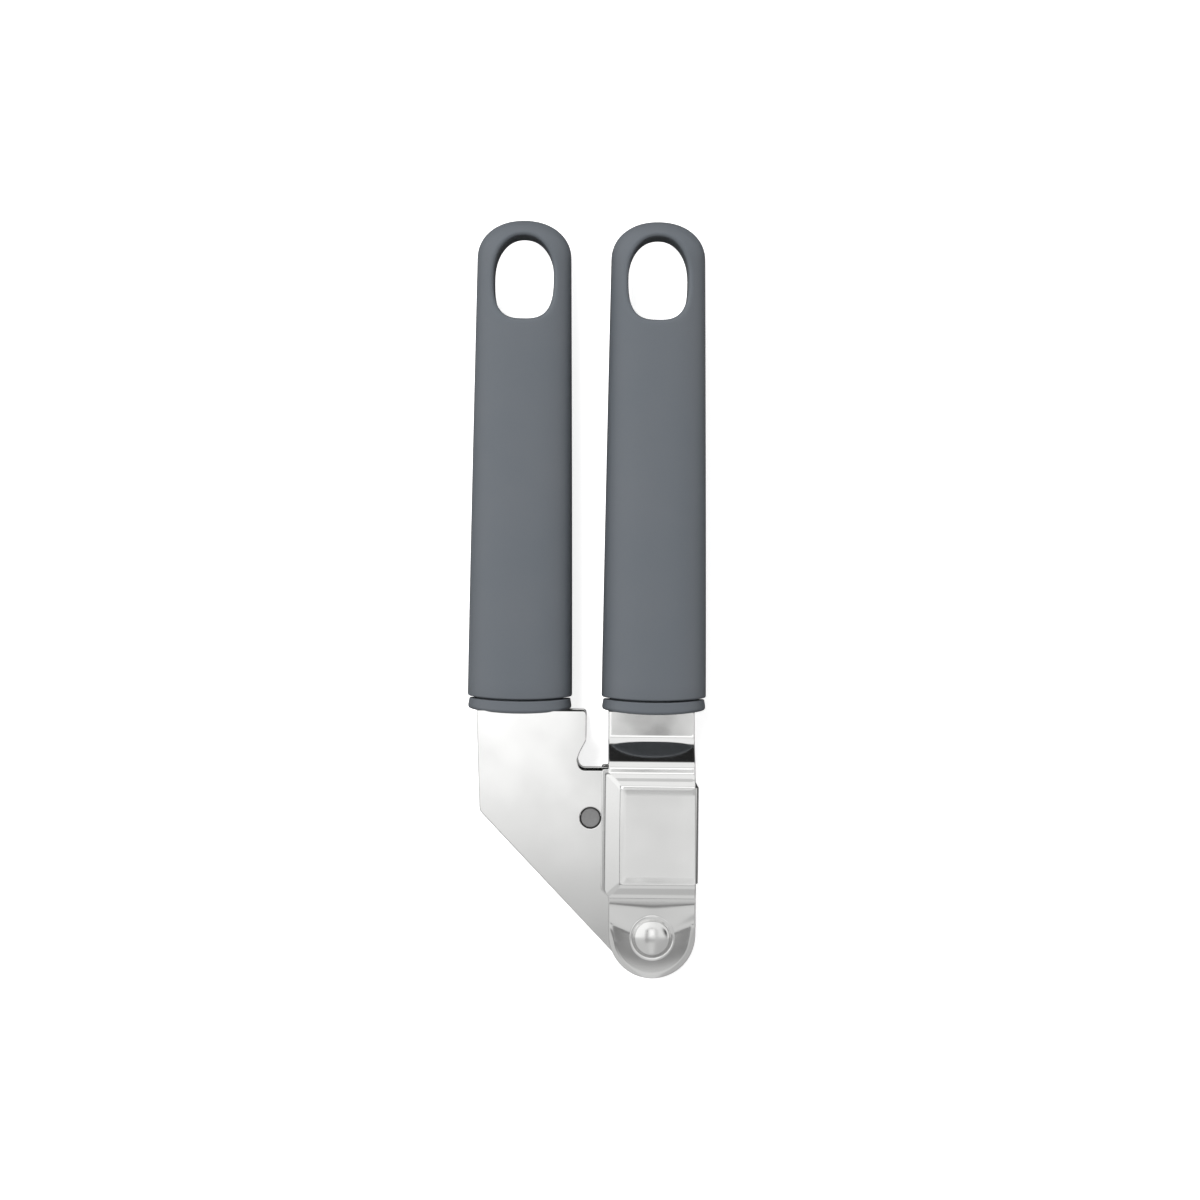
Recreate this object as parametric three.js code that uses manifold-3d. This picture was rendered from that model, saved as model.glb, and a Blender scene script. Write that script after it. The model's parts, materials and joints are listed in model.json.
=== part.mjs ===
// Garlic press: two steel arms that turn on one rivet, each with a moulded handle.
// The chamber arm carries the strainer, and the plunger arm carries a plunger hinged on its own pin.
// Millimetres, +Z up. The press lies closed on its side: pivot axis along Z, handles along +Y.
// Every arm is drawn about the pivot axis, at the press's mid-plane, and the root group moves the whole press
// so that the origin is the middle of its footprint on the table.

import * as THREE from "three";
import { mergeVertices } from "three/addons/utils/BufferGeometryUtils.js";
import Module from "manifold-3d";

const wasm = await Module();
wasm.setup();

// ---- Driving dimensions -------------------------------------------------------------------------

const CLEARANCE = 0.3; // gap kept between neighbouring pieces

const SHEET = 1.2; // thickness of the steel that both arms are pressed from
const ARM_SPACING = 31.1; // from one handle's axis to the other's, closed
const ARM_HALF = 7.3; // half the width over the plunger arm's two cheeks
const TANG_HALF = 4.2; // half the width over either arm's two tangs, inside the handle
const TANG_WIDTH = 13;
const TANG_LENGTH = 42; // from the shoulders to the tang's end

const GRIP_MOUTH = 54.2; // from the pivot to the middle of the grip's mouth
const GRIP_LENGTH = 111;
const GRIP_WIDTH = 24.4;
const GRIP_THICKNESS = 18;
const TIP_WIDTH = 21.6;
const TIP_THICKNESS = 12;
const TIP_ROUND = 8.8; // length of the rounded tip
const TIP_POWER = 2.15; // superellipse power of the tip seen from above
const GRIP_POWER = 2.5; // superellipse power of the grip's cross-section
const GRIP_WALL = 1.8;
const MOUTH_CROWN = 110; // radius of the mouth's curve seen from above
const HANG_WIDTH = 13.8; // hanging hole
const HANG_HEIGHT = 19.3;
const HANG_RIM = 3.9; // plastic left between the hole and the tip
const BORE_END = 9; // plastic left between the bore and the hanging hole

const COLLAR_HEIGHT = 2.8;
const COLLAR_GAP = 0.4; // shadow gap between collar and grip
const COLLAR_CROWN = 75; // radius of the collar's lower edge seen from above
const COLLAR_SKIRT = 9; // how far the collar's plug reaches into the bore
const SHOULDER_INSET = 0.7; // how far the steel shoulders sit up inside the collar's crown
const DROP_FOOT = 1.3; // the plunger arm's sheets have sloped in to their tangs this far inside the grip

const STRAP_END = 10; // radius of the chamber arm's round end
const END_SHIFT = 0.5; // the round end's centre lies this far above the pivot
const NECK_LEFT = 10.5; // the strap leans a little towards the other arm at its neck
const NECK_RIGHT = 9.4;
const NECK_BEND = 45; // from the pivot to the foot of the neck's slope
const NECK_TOP = 39.6; // from the pivot to the top of that slope
const BEND_RADIUS = 1.6;
const RIM_STEP = 0.5; // the strap round the pocket stands this far out from the pivot's part
const RIM_STEP_LOW = 4.6; // that step, from the pivot along the arm
const RIM_STEP_HIGH = 7.4;

const PANEL_LOW = 11.7; // the pocket's flat panel, from the pivot along the arm
const PANEL_HIGH = 35.2;
const PANEL_LEFT = 8.1; // the panel's open side is the strap's right edge
const POCKET_RISE = 1.6; // how far the panel stands out from the strap round it
const BEVEL_RUN = 2; // width of the sloping border round the panel
const LIP = 1.8; // flat lip beyond the pocket, on the side facing the other arm
const LIP_MARGIN = 1.4; // how far the lip runs on past the pocket at the neck's end

const STRAINER_WALL = 1.2;
const STRAINER_PROUD = 0.4; // how far the strainer shows past the strap's right edge
const STRAINER_CORNER = 1.6; // its two long outer edges are rounded
const HOLE_RADIUS = 0.95;
const HOLE_ROWS = 8; // along the arm
const HOLE_COLUMNS = 6;
const HOLE_PITCH = 2.3;

const PLATE_LEFT = 9.75; // plunger arm's cheek, from its handle's axis to its outer edge
const PLATE_TAPER = 0.95; // how far that edge leans in on its way down
const PLATE_RIGHT = 15.5; // from the handle's axis to the corner over the notch
const EYE_RADIUS = 9; // round the pivot
const DIAGONAL_ANGLE = 46.2; // of the cheek's long lower edge
const NOTCH_HIGH = 44.9; // from the pivot to the notch's upper corner
const NOTCH_FLOOR = 38.1;
const NOTCH_DEPTH = 1.9;

const RIVET_RADIUS = 2.5;
const RIVET_HEAD = 4.5;
const RIVET_DOME = 1.5;
const BUSH_WALL = 1.4;

const PIN_X = -14.4; // plunger's hinge pin, from the pivot
const PIN_Y = 27.2;
const PIN_RADIUS = 2.3;
const PIN_RECESS = 0.2; // how far its ends sit below the cheeks' outer faces

const PLUNGER_THICKNESS = 3;
const PLUNGER_GAP = 0.6; // left between the plunger's face and the strainer, closed
const PLUNGER_SLIDE = 0.4; // left at the plunger's two long sides
const PLUNGER_HEEL = 0.5; // left at its end nearer the pivot
const PLUNGER_TOE = 1.7; // left at its far end, which swings the most
const PLUNGER_CHAMFER = 1.8;
const WEB_INSET = 1; // the bracket's web is this much shorter than the plate's flat back, at each end
const EAR_SLIDE = 0.4; // left between each of the bracket's two ears and the cheek outside it
const EAR_TAPER = 5; // length of the ears that keeps the web's height
const EAR_EYE = 4.4;
const SLEEVE_WALL = 1.1;

const CORE_START = 14; // tang spacer, from the shoulders
const CORE_LENGTH = 24;
const TIE_RADIUS = 1.5; // rivets through the tangs
const TIE_HEAD = 2.6;
const TIE_HEAD_HEIGHT = 0.8;
const TIE_INSET = 5; // from the spacer's ends

// ---- Sizes worked out from those ----------------------------------------------------------------

const COLLAR_FOOT = GRIP_MOUTH - COLLAR_GAP - COLLAR_HEIGHT;
const SHOULDER = COLLAR_FOOT + SHOULDER_INSET;
const TIP = GRIP_MOUTH + GRIP_LENGTH;
const STRAP_INNER = ARM_HALF + CLEARANCE;
const STRAP_OUTER = STRAP_INNER + SHEET;
const RIM_OUTER = STRAP_OUTER + RIM_STEP;
const RIM_INNER = RIM_OUTER - SHEET;
const PANEL_OUTER = RIM_OUTER + POCKET_RISE;
const BEVEL_SHIFT = SHEET * Math.tan(Math.atan2(POCKET_RISE, BEVEL_RUN) / 2); // keeps the slope's thickness
const RIVET_TOP = STRAP_OUTER + CLEARANCE + RIVET_DOME;
const LOWEST = Math.max(RIVET_TOP, PANEL_OUTER, GRIP_THICKNESS / 2);
const STRAINER_OUTER = STRAP_END + STRAINER_PROUD;
const STRAINER_INNER = STRAINER_OUTER - STRAINER_WALL;
const STRAINER_HALF = PANEL_OUTER - SHEET - CLEARANCE;
const STRAINER_LOW = PANEL_LOW + BEVEL_SHIFT + CLEARANCE;
const STRAINER_HIGH = PANEL_HIGH - BEVEL_SHIFT - CLEARANCE;
const STRAINER_MOUTH = -PANEL_LEFT + BEVEL_SHIFT + CLEARANCE;
const CHEEK_INNER = STRAINER_MOUTH - 2 * CLEARANCE;
const PLUNGER_FACE = STRAINER_INNER - PLUNGER_GAP;
const PLUNGER_BACK = PLUNGER_FACE - PLUNGER_THICKNESS;
const PLUNGER_LOW = STRAINER_LOW + STRAINER_WALL + PLUNGER_HEEL;
const PLUNGER_HIGH = STRAINER_HIGH - STRAINER_WALL - PLUNGER_TOE;
const PLUNGER_HALF = RIM_INNER - PLUNGER_SLIDE;
const EAR_HALF = ARM_HALF - SHEET - EAR_SLIDE;
const FAR = 60; // longer than anything that is cut

// ---- Materials ----------------------------------------------------------------------------------

const steel = new THREE.MeshStandardMaterial({ color: 0xd4d4d3, metalness: 1, roughness: 0.16 });
const brightSteel = new THREE.MeshStandardMaterial({ color: 0xdedede, metalness: 1, roughness: 0.1 });
const satinSteel = new THREE.MeshStandardMaterial({ color: 0x8f8f8f, metalness: 1, roughness: 0.42 });
const greyPlastic = new THREE.MeshStandardMaterial({ color: 0x676f75, metalness: 0, roughness: 0.5 });
const nylon = new THREE.MeshStandardMaterial({ color: 0xb9bcbd, metalness: 0, roughness: 0.6 });

// ---- Making solids ------------------------------------------------------------------------------

// A closed three.js geometry as a manifold-3d solid.
function solid(geometry) {
  const flat = geometry.index ? geometry.toNonIndexed() : geometry;
  const bare = new THREE.BufferGeometry();
  bare.setAttribute("position", flat.getAttribute("position"));
  const merged = mergeVertices(bare, 1e-4);
  return new wasm.Manifold(
    new wasm.Mesh({
      numProp: 3,
      vertProperties: merged.attributes.position.array,
      triVerts: new Uint32Array(merged.index.array),
    }),
  );
}

// A named mesh of a manifold-3d solid.
function piece(name, made, material) {
  const { vertProperties, triVerts } = made.getMesh();
  const geometry = new THREE.BufferGeometry();
  geometry.setAttribute("position", new THREE.BufferAttribute(vertProperties, 3));
  geometry.setIndex(new THREE.BufferAttribute(triVerts, 1));
  geometry.computeVertexNormals();
  const mesh = new THREE.Mesh(geometry, material);
  mesh.name = name;
  return mesh;
}

// A shape in the X-Y plane, made solid from z = low to z = high.
function slab(shape, low, high, curveSegments = 8) {
  const options = { depth: high - low, bevelEnabled: false, curveSegments };
  return solid(new THREE.ExtrudeGeometry(shape, options).translate(0, 0, low));
}

// A shape drawn in (along the arm, height), made solid across the arm from x = low to x = high.
function crosswise(shape, low, high) {
  const options = { depth: high - low, bevelEnabled: false };
  const turned = new THREE.Matrix4().makeBasis(
    new THREE.Vector3(0, 1, 0),
    new THREE.Vector3(0, 0, 1),
    new THREE.Vector3(1, 0, 0),
  );
  return solid(new THREE.ExtrudeGeometry(shape, options).translate(0, 0, low).applyMatrix4(turned));
}

function block(x0, x1, y0, y1, z0, z1) {
  const box = new THREE.BoxGeometry(x1 - x0, y1 - y0, z1 - z0);
  return solid(box.translate((x0 + x1) / 2, (y0 + y1) / 2, (z0 + z1) / 2));
}

// A cylinder along Z.
function rod(radius, low, high, x = 0, y = 0, sides = 32) {
  const bar = new THREE.CylinderGeometry(radius, radius, high - low, sides);
  return solid(bar.rotateX(Math.PI / 2).translate(x, y, (low + high) / 2));
}

// A solid of revolution about Z, from [radius, height] pairs that start and end on the axis.
function turned(profile, sides = 32) {
  const points = profile.map(([radius, height]) => new THREE.Vector2(radius, height));
  return solid(new THREE.LatheGeometry(points, sides).rotateX(Math.PI / 2));
}

// Rings of points joined into one closed skin. Each ring has the same number of points.
function loft(rings) {
  const count = rings[0].length;
  const positions = rings.flat().flatMap((p) => [p.x, p.y, p.z]);
  const faces = [];
  for (let r = 0; r + 1 < rings.length; r++) {
    for (let i = 0; i < count; i++) {
      const a = r * count + i;
      const b = r * count + ((i + 1) % count);
      faces.push(a, b, b + count, a, b + count, a + count);
    }
  }
  const last = (rings.length - 1) * count;
  for (let i = 1; i + 1 < count; i++) {
    faces.push(0, i + 1, i, last, last + i, last + i + 1);
  }
  const geometry = new THREE.BufferGeometry();
  geometry.setAttribute("position", new THREE.Float32BufferAttribute(positions, 3));
  geometry.setIndex(faces);
  return solid(geometry);
}

// ---- Outlines -----------------------------------------------------------------------------------

// A point of a superellipse with half-axes a and b.
function superellipse(a, b, power, angle) {
  const c = Math.cos(angle);
  const s = Math.sin(angle);
  const bend = 2 / power;
  return new THREE.Vector2(
    a * Math.sign(c) * Math.abs(c) ** bend,
    b * Math.sign(s) * Math.abs(s) ** bend,
  );
}

// An open line through corners, each rounded where its neighbours leave room.
function rounded(corners, radius, steps = 3) {
  const points = [corners[0]];
  for (let i = 1; i + 1 < corners.length; i++) {
    const [before, corner, after] = corners.slice(i - 1, i + 2);
    const shorter = Math.min(before.distanceTo(corner), after.distanceTo(corner));
    const room = Math.min(radius, shorter * 0.45);
    const start = corner.clone().lerp(before, room / corner.distanceTo(before));
    const end = corner.clone().lerp(after, room / corner.distanceTo(after));
    points.push(...new THREE.QuadraticBezierCurve(start, corner, end).getPoints(steps));
  }
  points.push(corners[corners.length - 1]);
  return points;
}

// The same line moved sideways by a distance, its corners mitred.
function offset(points, distance) {
  const normals = points.slice(1).map((p, i) => {
    const d = p.clone().sub(points[i]).normalize();
    return new THREE.Vector2(-d.y, d.x);
  });
  return points.map((p, i) => {
    const n = normals[Math.max(i - 1, 0)].clone().add(normals[Math.min(i, normals.length - 1)]);
    n.normalize();
    const mitre = n.dot(normals[Math.min(i, normals.length - 1)]);
    return p.clone().addScaledVector(n, distance / mitre);
  });
}

// A bent sheet: the line of its outer face, thickened inwards, cut to an outline seen from above.
function pressedSheet(outline, outerLine) {
  const band = new THREE.Shape([...outerLine, ...offset(outerLine, -SHEET).reverse()]);
  return slab(outline, 0, FAR).intersect(crosswise(band, -FAR, FAR));
}

// A strip between two curved ends, used to crown a mouth or a collar: the ends bow towards the pivot.
function crownedStrip(low, lowRadius, high, highRadius) {
  const half = GRIP_WIDTH * 0.6;
  const lowAngle = Math.asin(half / lowRadius);
  const shape = new THREE.Shape();
  shape.absarc(0, low + lowRadius, lowRadius, -Math.PI / 2 - lowAngle, -Math.PI / 2 + lowAngle, false);
  if (highRadius) {
    const highAngle = Math.asin(half / highRadius);
    const start = -Math.PI / 2 + highAngle;
    shape.absarc(0, high + highRadius, highRadius, start, -Math.PI / 2 - highAngle, true);
  } else {
    shape.lineTo(half, high);
    shape.lineTo(-half, high);
  }
  return slab(shape, -FAR, FAR, 16);
}

// ---- Handles ------------------------------------------------------------------------------------

const mix = (a, b, t) => a + (b - a) * t;

// Half-width and half-thickness of the grip at a distance from the pivot.
function gripHalves(y) {
  const t = Math.max(0, (y - GRIP_MOUTH) / GRIP_LENGTH);
  const end = Math.max(0, (y - (TIP - TIP_ROUND)) / TIP_ROUND);
  const narrowed = (1 - Math.min(1, end) ** TIP_POWER) ** (1 / TIP_POWER);
  return {
    width: mix(GRIP_WIDTH, TIP_WIDTH, t ** 1.2) / 2 * narrowed,
    thickness: mix(GRIP_THICKNESS, TIP_THICKNESS, t ** 1.3) / 2 * narrowed,
  };
}

// Cross-sections of the grip, taken in by an inset, at the given distances from the pivot.
function gripLoft(distances, inset, sides) {
  const rings = distances.map((y) => {
    const { width, thickness } = gripHalves(y);
    return Array.from({ length: sides }, (_, i) => {
      const p = superellipse(
        width - inset,
        thickness - inset,
        GRIP_POWER,
        -(2 * Math.PI * (i + 0.5)) / sides,
      );
      return new THREE.Vector3(p.x, y, p.y);
    });
  });
  return loft(rings);
}

// Distances from one value to another, in equal steps.
const steps = (from, to, count) => Array.from({ length: count + 1 }, (_, i) => mix(from, to, i / count));

function hangingHole() {
  const middle = TIP - HANG_RIM - HANG_HEIGHT / 2;
  const points = steps(0, 2 * Math.PI, 32).slice(1).map((angle) => {
    const power = Math.sin(angle) > 0 ? 2.2 : 2.8; // rounder at the top than at the foot
    return superellipse(HANG_WIDTH / 2, HANG_HEIGHT / 2, power, angle).add(new THREE.Vector2(0, middle));
  });
  return slab(new THREE.Shape(points), -FAR, FAR);
}

function grip() {
  const along = steps(GRIP_MOUTH - 2, TIP - TIP_ROUND, 9);
  const roundTip = [0.3, 0.55, 0.75, 0.9, 0.98, 0.999].map((t) => TIP - TIP_ROUND * (1 - t));
  const boreTop = TIP - HANG_RIM - HANG_HEIGHT - BORE_END;
  const outer = gripLoft([...along, ...roundTip], 0, 28);
  const bore = gripLoft(steps(GRIP_MOUTH - 3, boreTop, 6), GRIP_WALL, 28);
  return outer
    .subtract(bore)
    .subtract(hangingHole())
    .intersect(crownedStrip(GRIP_MOUTH, MOUTH_CROWN, TIP + 1));
}

// The collar closes the grip's mouth. Its two windows let the tangs through and follow the outer line of the
// sheets, and its two recesses take the shoulders.
function collar(outerLine, armHalf, left, right) {
  const flange = gripLoft([COLLAR_FOOT - 1, GRIP_MOUTH + 2], 0, 28).intersect(
    crownedStrip(COLLAR_FOOT, COLLAR_CROWN, COLLAR_FOOT + COLLAR_HEIGHT, MOUTH_CROWN),
  );
  const plugEnds = steps(COLLAR_FOOT + COLLAR_HEIGHT / 2, GRIP_MOUTH + COLLAR_SKIRT, 1);
  const plug = gripLoft(plugEnds, GRIP_WALL + CLEARANCE, 28);
  const half = TANG_WIDTH / 2 + CLEARANCE;
  const inner = TANG_HALF - SHEET - CLEARANCE;
  const above = offset(outerLine, CLEARANCE);
  const [first, last] = [above[0], above[above.length - 1]];
  const window = new THREE.Shape([
    new THREE.Vector2(first.x, inner),
    ...above,
    new THREE.Vector2(last.x, inner),
  ]);
  const top = SHOULDER + CLEARANCE;
  const recess = [armHalf - SHEET - 2 * CLEARANCE, armHalf + CLEARANCE];
  const opening = crosswise(window, -half, half).add(
    block(left - CLEARANCE, right + CLEARANCE, 0, top, ...recess),
  );
  return flange.add(plug).subtract(opening).subtract(opening.mirror([0, 0, 1]));
}

// ---- Chamber arm --------------------------------------------------------------------------------

// The tang's outline, in order up its right side and down its left, about a handle's axis.
function tangCorners(axis) {
  const half = TANG_WIDTH / 2;
  const top = SHOULDER + TANG_LENGTH;
  const cut = 2;
  return [
    [axis + half, SHOULDER],
    [axis + half, top - cut],
    [axis + half - cut, top],
    [axis - half + cut, top],
    [axis - half, top - cut],
    [axis - half, SHOULDER],
  ];
}

function strapOutline() {
  const lipLow = PANEL_LOW - BEVEL_RUN;
  const lipHigh = PANEL_HIGH + BEVEL_RUN + LIP_MARGIN;
  const lipEdge = -PANEL_LEFT - BEVEL_RUN - LIP;
  const edge = (y) => -mix(STRAP_END, NECK_LEFT, y / SHOULDER);
  const shape = new THREE.Shape();
  shape.moveTo(STRAP_END, END_SHIFT);
  shape.lineTo(NECK_RIGHT, SHOULDER);
  tangCorners(0).forEach(([x, y]) => shape.lineTo(x, y));
  shape.lineTo(-NECK_LEFT, SHOULDER);
  shape.lineTo(edge(lipHigh), lipHigh);
  shape.lineTo(lipEdge, lipHigh);
  shape.lineTo(lipEdge, lipLow + LIP);
  shape.lineTo(edge(lipLow), lipLow);
  shape.lineTo(-STRAP_END, END_SHIFT);
  shape.absarc(0, END_SHIFT, STRAP_END, Math.PI, 2 * Math.PI, false);
  return shape;
}

// A block with sloping borders on three sides: the pocket's outer or inner face.
// Its fourth side runs out past the strap's right edge.
function pocketBlock(shift, base, top) {
  const ring = (grow, z) => {
    const x = -PANEL_LEFT + shift - grow;
    const y0 = PANEL_LOW + shift - grow;
    const y1 = PANEL_HIGH - shift + grow;
    return [
      new THREE.Vector3(x, y0, z),
      new THREE.Vector3(FAR, y0, z),
      new THREE.Vector3(FAR, y1, z),
      new THREE.Vector3(x, y1, z),
    ];
  };
  const levels = [ring(BEVEL_RUN, base - CLEARANCE), ring(BEVEL_RUN, base), ring(0, top)];
  return loft(levels.map((r) => r.reverse()).reverse());
}

// The outer face's line along the chamber arm, as (distance from the pivot, height).
function strapLine() {
  return rounded(
    [
      [SHOULDER + TANG_LENGTH + 1, TANG_HALF],
      [NECK_BEND, TANG_HALF],
      [NECK_TOP, RIM_OUTER],
      [RIM_STEP_HIGH, RIM_OUTER],
      [RIM_STEP_LOW, STRAP_OUTER],
      [-STRAP_END - 1, STRAP_OUTER],
    ].map(([y, z]) => new THREE.Vector2(y, z)),
    BEND_RADIUS,
  ).reverse();
}

function chamberCheek() {
  const sheet = pressedSheet(strapOutline(), strapLine());
  const outerPocket = pocketBlock(0, RIM_OUTER, PANEL_OUTER).intersect(
    slab(strapOutline(), RIM_INNER, FAR),
  );
  const innerPocket = pocketBlock(BEVEL_SHIFT, RIM_INNER, PANEL_OUTER - SHEET);
  return sheet
    .add(outerPocket)
    .subtract(innerPocket)
    .subtract(rod(RIVET_RADIUS + CLEARANCE, 0, FAR))
    .subtract(tieHoles(0));
}

// The strainer is a box of thin steel, open towards the plunger, with its bottom pierced.
function strainer() {
  const channel = (inset) => {
    const x1 = STRAINER_OUTER - inset;
    const half = STRAINER_HALF - inset;
    const r = Math.max(STRAINER_CORNER - inset, STRAINER_CORNER / 8);
    const shape = new THREE.Shape();
    shape.moveTo(STRAINER_MOUTH - inset, -half);
    shape.lineTo(x1 - r, -half);
    shape.absarc(x1 - r, -half + r, r, -Math.PI / 2, 0, false);
    shape.absarc(x1 - r, half - r, r, 0, Math.PI / 2, false);
    shape.lineTo(STRAINER_MOUTH - inset, half);
    return shape;
  };
  // Drawn in X-Z, then stood along Y.
  const stand = (shape, low, high) => {
    const made = new THREE.ExtrudeGeometry(shape, {
      depth: high - low,
      bevelEnabled: false,
      curveSegments: 4,
    });
    return solid(made.rotateX(Math.PI / 2).translate(0, high, 0));
  };
  const walls = stand(channel(0), STRAINER_LOW, STRAINER_HIGH).subtract(
    stand(channel(STRAINER_WALL), STRAINER_LOW + STRAINER_WALL, STRAINER_HIGH - STRAINER_WALL),
  );
  return walls.subtract(strainerHoles());
}

function strainerHoles() {
  const middle = (STRAINER_LOW + STRAINER_HIGH) / 2;
  const drill = new THREE.CylinderGeometry(HOLE_RADIUS, HOLE_RADIUS, 4 * STRAINER_WALL, 8);
  drill.rotateZ(Math.PI / 2);
  const drills = [];
  for (let row = 0; row < HOLE_ROWS; row++) {
    for (let column = 0; column < HOLE_COLUMNS; column++) {
      const y = middle + (row - (HOLE_ROWS - 1) / 2) * HOLE_PITCH;
      const z = (column - (HOLE_COLUMNS - 1) / 2) * HOLE_PITCH;
      drills.push(solid(drill.clone().translate(STRAINER_OUTER, y, z)));
    }
  }
  return drills.reduce((all, next) => all.add(next));
}

// ---- Plunger arm --------------------------------------------------------------------------------

// Where the cheek's long lower edge leaves the eye, and where it meets the outer edge.
function diagonal() {
  const angle = THREE.MathUtils.degToRad(DIAGONAL_ANGLE);
  const touch = new THREE.Vector2(-Math.sin(angle), -Math.cos(angle)).multiplyScalar(EYE_RADIUS);
  const cornerX = -ARM_SPACING - PLATE_LEFT + PLATE_TAPER;
  const cornerY = touch.y + (touch.x - cornerX) * Math.tan(angle);
  return { touch, corner: new THREE.Vector2(cornerX, cornerY), start: Math.atan2(touch.y, touch.x) };
}

function plateOutline() {
  const { touch, corner, start } = diagonal();
  const right = -ARM_SPACING + PLATE_RIGHT;
  const foot = STRAINER_LOW + 1;
  const shape = new THREE.Shape();
  shape.absarc(0, 0, EYE_RADIUS, start, Math.PI / 2, false);
  shape.lineTo(-EYE_RADIUS / 2, EYE_RADIUS);
  shape.quadraticCurveTo(CHEEK_INNER, EYE_RADIUS, CHEEK_INNER, foot);
  shape.lineTo(CHEEK_INNER, NOTCH_FLOOR);
  shape.lineTo(right, NOTCH_FLOOR);
  shape.quadraticCurveTo(right - NOTCH_DEPTH, NOTCH_FLOOR, right - NOTCH_DEPTH, NOTCH_FLOOR + NOTCH_DEPTH);
  shape.lineTo(right, NOTCH_HIGH);
  shape.lineTo(right, SHOULDER - 1);
  shape.quadraticCurveTo(right, SHOULDER, right - 1, SHOULDER);
  tangCorners(-ARM_SPACING).forEach(([x, y]) => shape.lineTo(x, y));
  shape.lineTo(-ARM_SPACING - PLATE_LEFT, SHOULDER);
  const cornerRound = 2;
  shape.lineTo(corner.x, corner.y + cornerRound);
  const along = touch.clone().sub(corner).setLength(cornerRound).add(corner);
  shape.quadraticCurveTo(corner.x, corner.y, along.x, along.y);
  shape.lineTo(touch.x, touch.y);
  return shape;
}

// The outer face's line along the plunger arm. It slopes in to the tang as soon as it is inside the collar.
function plateLine() {
  return rounded(
    [
      [-STRAP_END - 1, ARM_HALF],
      [SHOULDER + CLEARANCE, ARM_HALF],
      [GRIP_MOUTH + DROP_FOOT, TANG_HALF],
      [SHOULDER + TANG_LENGTH + 1, TANG_HALF],
    ].map(([y, z]) => new THREE.Vector2(y, z)),
    0.6,
  );
}

function plungerCheek() {
  return pressedSheet(plateOutline(), plateLine())
    .subtract(rod(RIVET_RADIUS + CLEARANCE, 0, FAR))
    .subtract(rod(PIN_RADIUS + CLEARANCE, 0, FAR, PIN_X, PIN_Y))
    .subtract(tieHoles(-ARM_SPACING));
}

// ---- Plunger ------------------------------------------------------------------------------------

function plungerPlate() {
  const c = PLUNGER_CHAMFER;
  const shape = new THREE.Shape();
  shape.moveTo(PLUNGER_BACK, PLUNGER_LOW + c);
  shape.lineTo(PLUNGER_BACK + c, PLUNGER_LOW);
  shape.lineTo(PLUNGER_FACE, PLUNGER_LOW);
  shape.lineTo(PLUNGER_FACE, PLUNGER_HIGH);
  shape.lineTo(PLUNGER_BACK + c, PLUNGER_HIGH);
  shape.lineTo(PLUNGER_BACK, PLUNGER_HIGH - c);
  return slab(shape, -PLUNGER_HALF, PLUNGER_HALF);
}

// A folded channel: two ears on the pin, joined by a web that is welded to the back of the plate.
function plungerBracket() {
  const back = PLUNGER_BACK - CLEARANCE;
  const low = PLUNGER_LOW + PLUNGER_CHAMFER + WEB_INSET;
  const high = PLUNGER_HIGH - PLUNGER_CHAMFER - WEB_INSET;
  const ear = new THREE.Shape();
  ear.absarc(PIN_X, PIN_Y, EAR_EYE, Math.PI / 2, (3 * Math.PI) / 2, false);
  ear.lineTo(back - EAR_TAPER, low);
  ear.lineTo(back, low);
  ear.lineTo(back, high);
  ear.lineTo(back - EAR_TAPER, high);
  const hollow = block(-FAR, back - SHEET, 0, FAR, -EAR_HALF + SHEET, EAR_HALF - SHEET);
  return slab(ear, -EAR_HALF, EAR_HALF)
    .subtract(hollow)
    .subtract(rod(PIN_RADIUS + CLEARANCE, -FAR, FAR, PIN_X, PIN_Y));
}

function plungerSleeve() {
  const half = EAR_HALF - SHEET - CLEARANCE;
  const bore = PIN_RADIUS + CLEARANCE;
  return rod(bore + SLEEVE_WALL, -half, half, PIN_X, PIN_Y).subtract(
    rod(bore, -FAR, FAR, PIN_X, PIN_Y),
  );
}

// ---- Fasteners and spacers ----------------------------------------------------------------------

// The pivot rivet: a shank with a domed head set at each end.
function pivotRivet() {
  const under = STRAP_OUTER + CLEARANCE;
  const dome = [
    [RIVET_HEAD, 0.15],
    [RIVET_HEAD * 0.97, 0.4],
    [RIVET_HEAD * 0.8, 0.72],
    [RIVET_HEAD * 0.5, 0.93],
    [0, 1],
  ].map(([radius, share]) => [radius, under + RIVET_DOME * share]);
  const half = [[RIVET_RADIUS, under], [RIVET_HEAD, under], ...dome];
  const other = half.map(([radius, height]) => [radius, -height]).reverse();
  return turned([...other, ...half]);
}

// The bush holds the plunger arm's cheeks apart round the rivet.
function pivotBush() {
  const half = ARM_HALF - SHEET - CLEARANCE;
  const bore = RIVET_RADIUS + CLEARANCE;
  return rod(bore + BUSH_WALL, -half, half).subtract(rod(bore, -FAR, FAR));
}

function hingePin() {
  const half = ARM_HALF - PIN_RECESS;
  return rod(PIN_RADIUS, -half, half, PIN_X, PIN_Y);
}

// The spacer holds the two tangs apart inside the grip.
function tangCore(axis) {
  const half = TANG_WIDTH / 2 - 0.5;
  const depth = TANG_HALF - SHEET - CLEARANCE;
  const start = SHOULDER + CORE_START;
  return block(axis - half, axis + half, start, start + CORE_LENGTH, -depth, depth).subtract(
    tieHoles(axis, -FAR),
  );
}

const tiePlaces = () =>
  [TIE_INSET, CORE_LENGTH - TIE_INSET].map((along) => SHOULDER + CORE_START + along);

function tieHoles(axis, low = 0) {
  const [a, b] = tiePlaces().map((y) => rod(TIE_RADIUS + CLEARANCE, low, FAR, axis, y, 16));
  return a.add(b);
}

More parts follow.
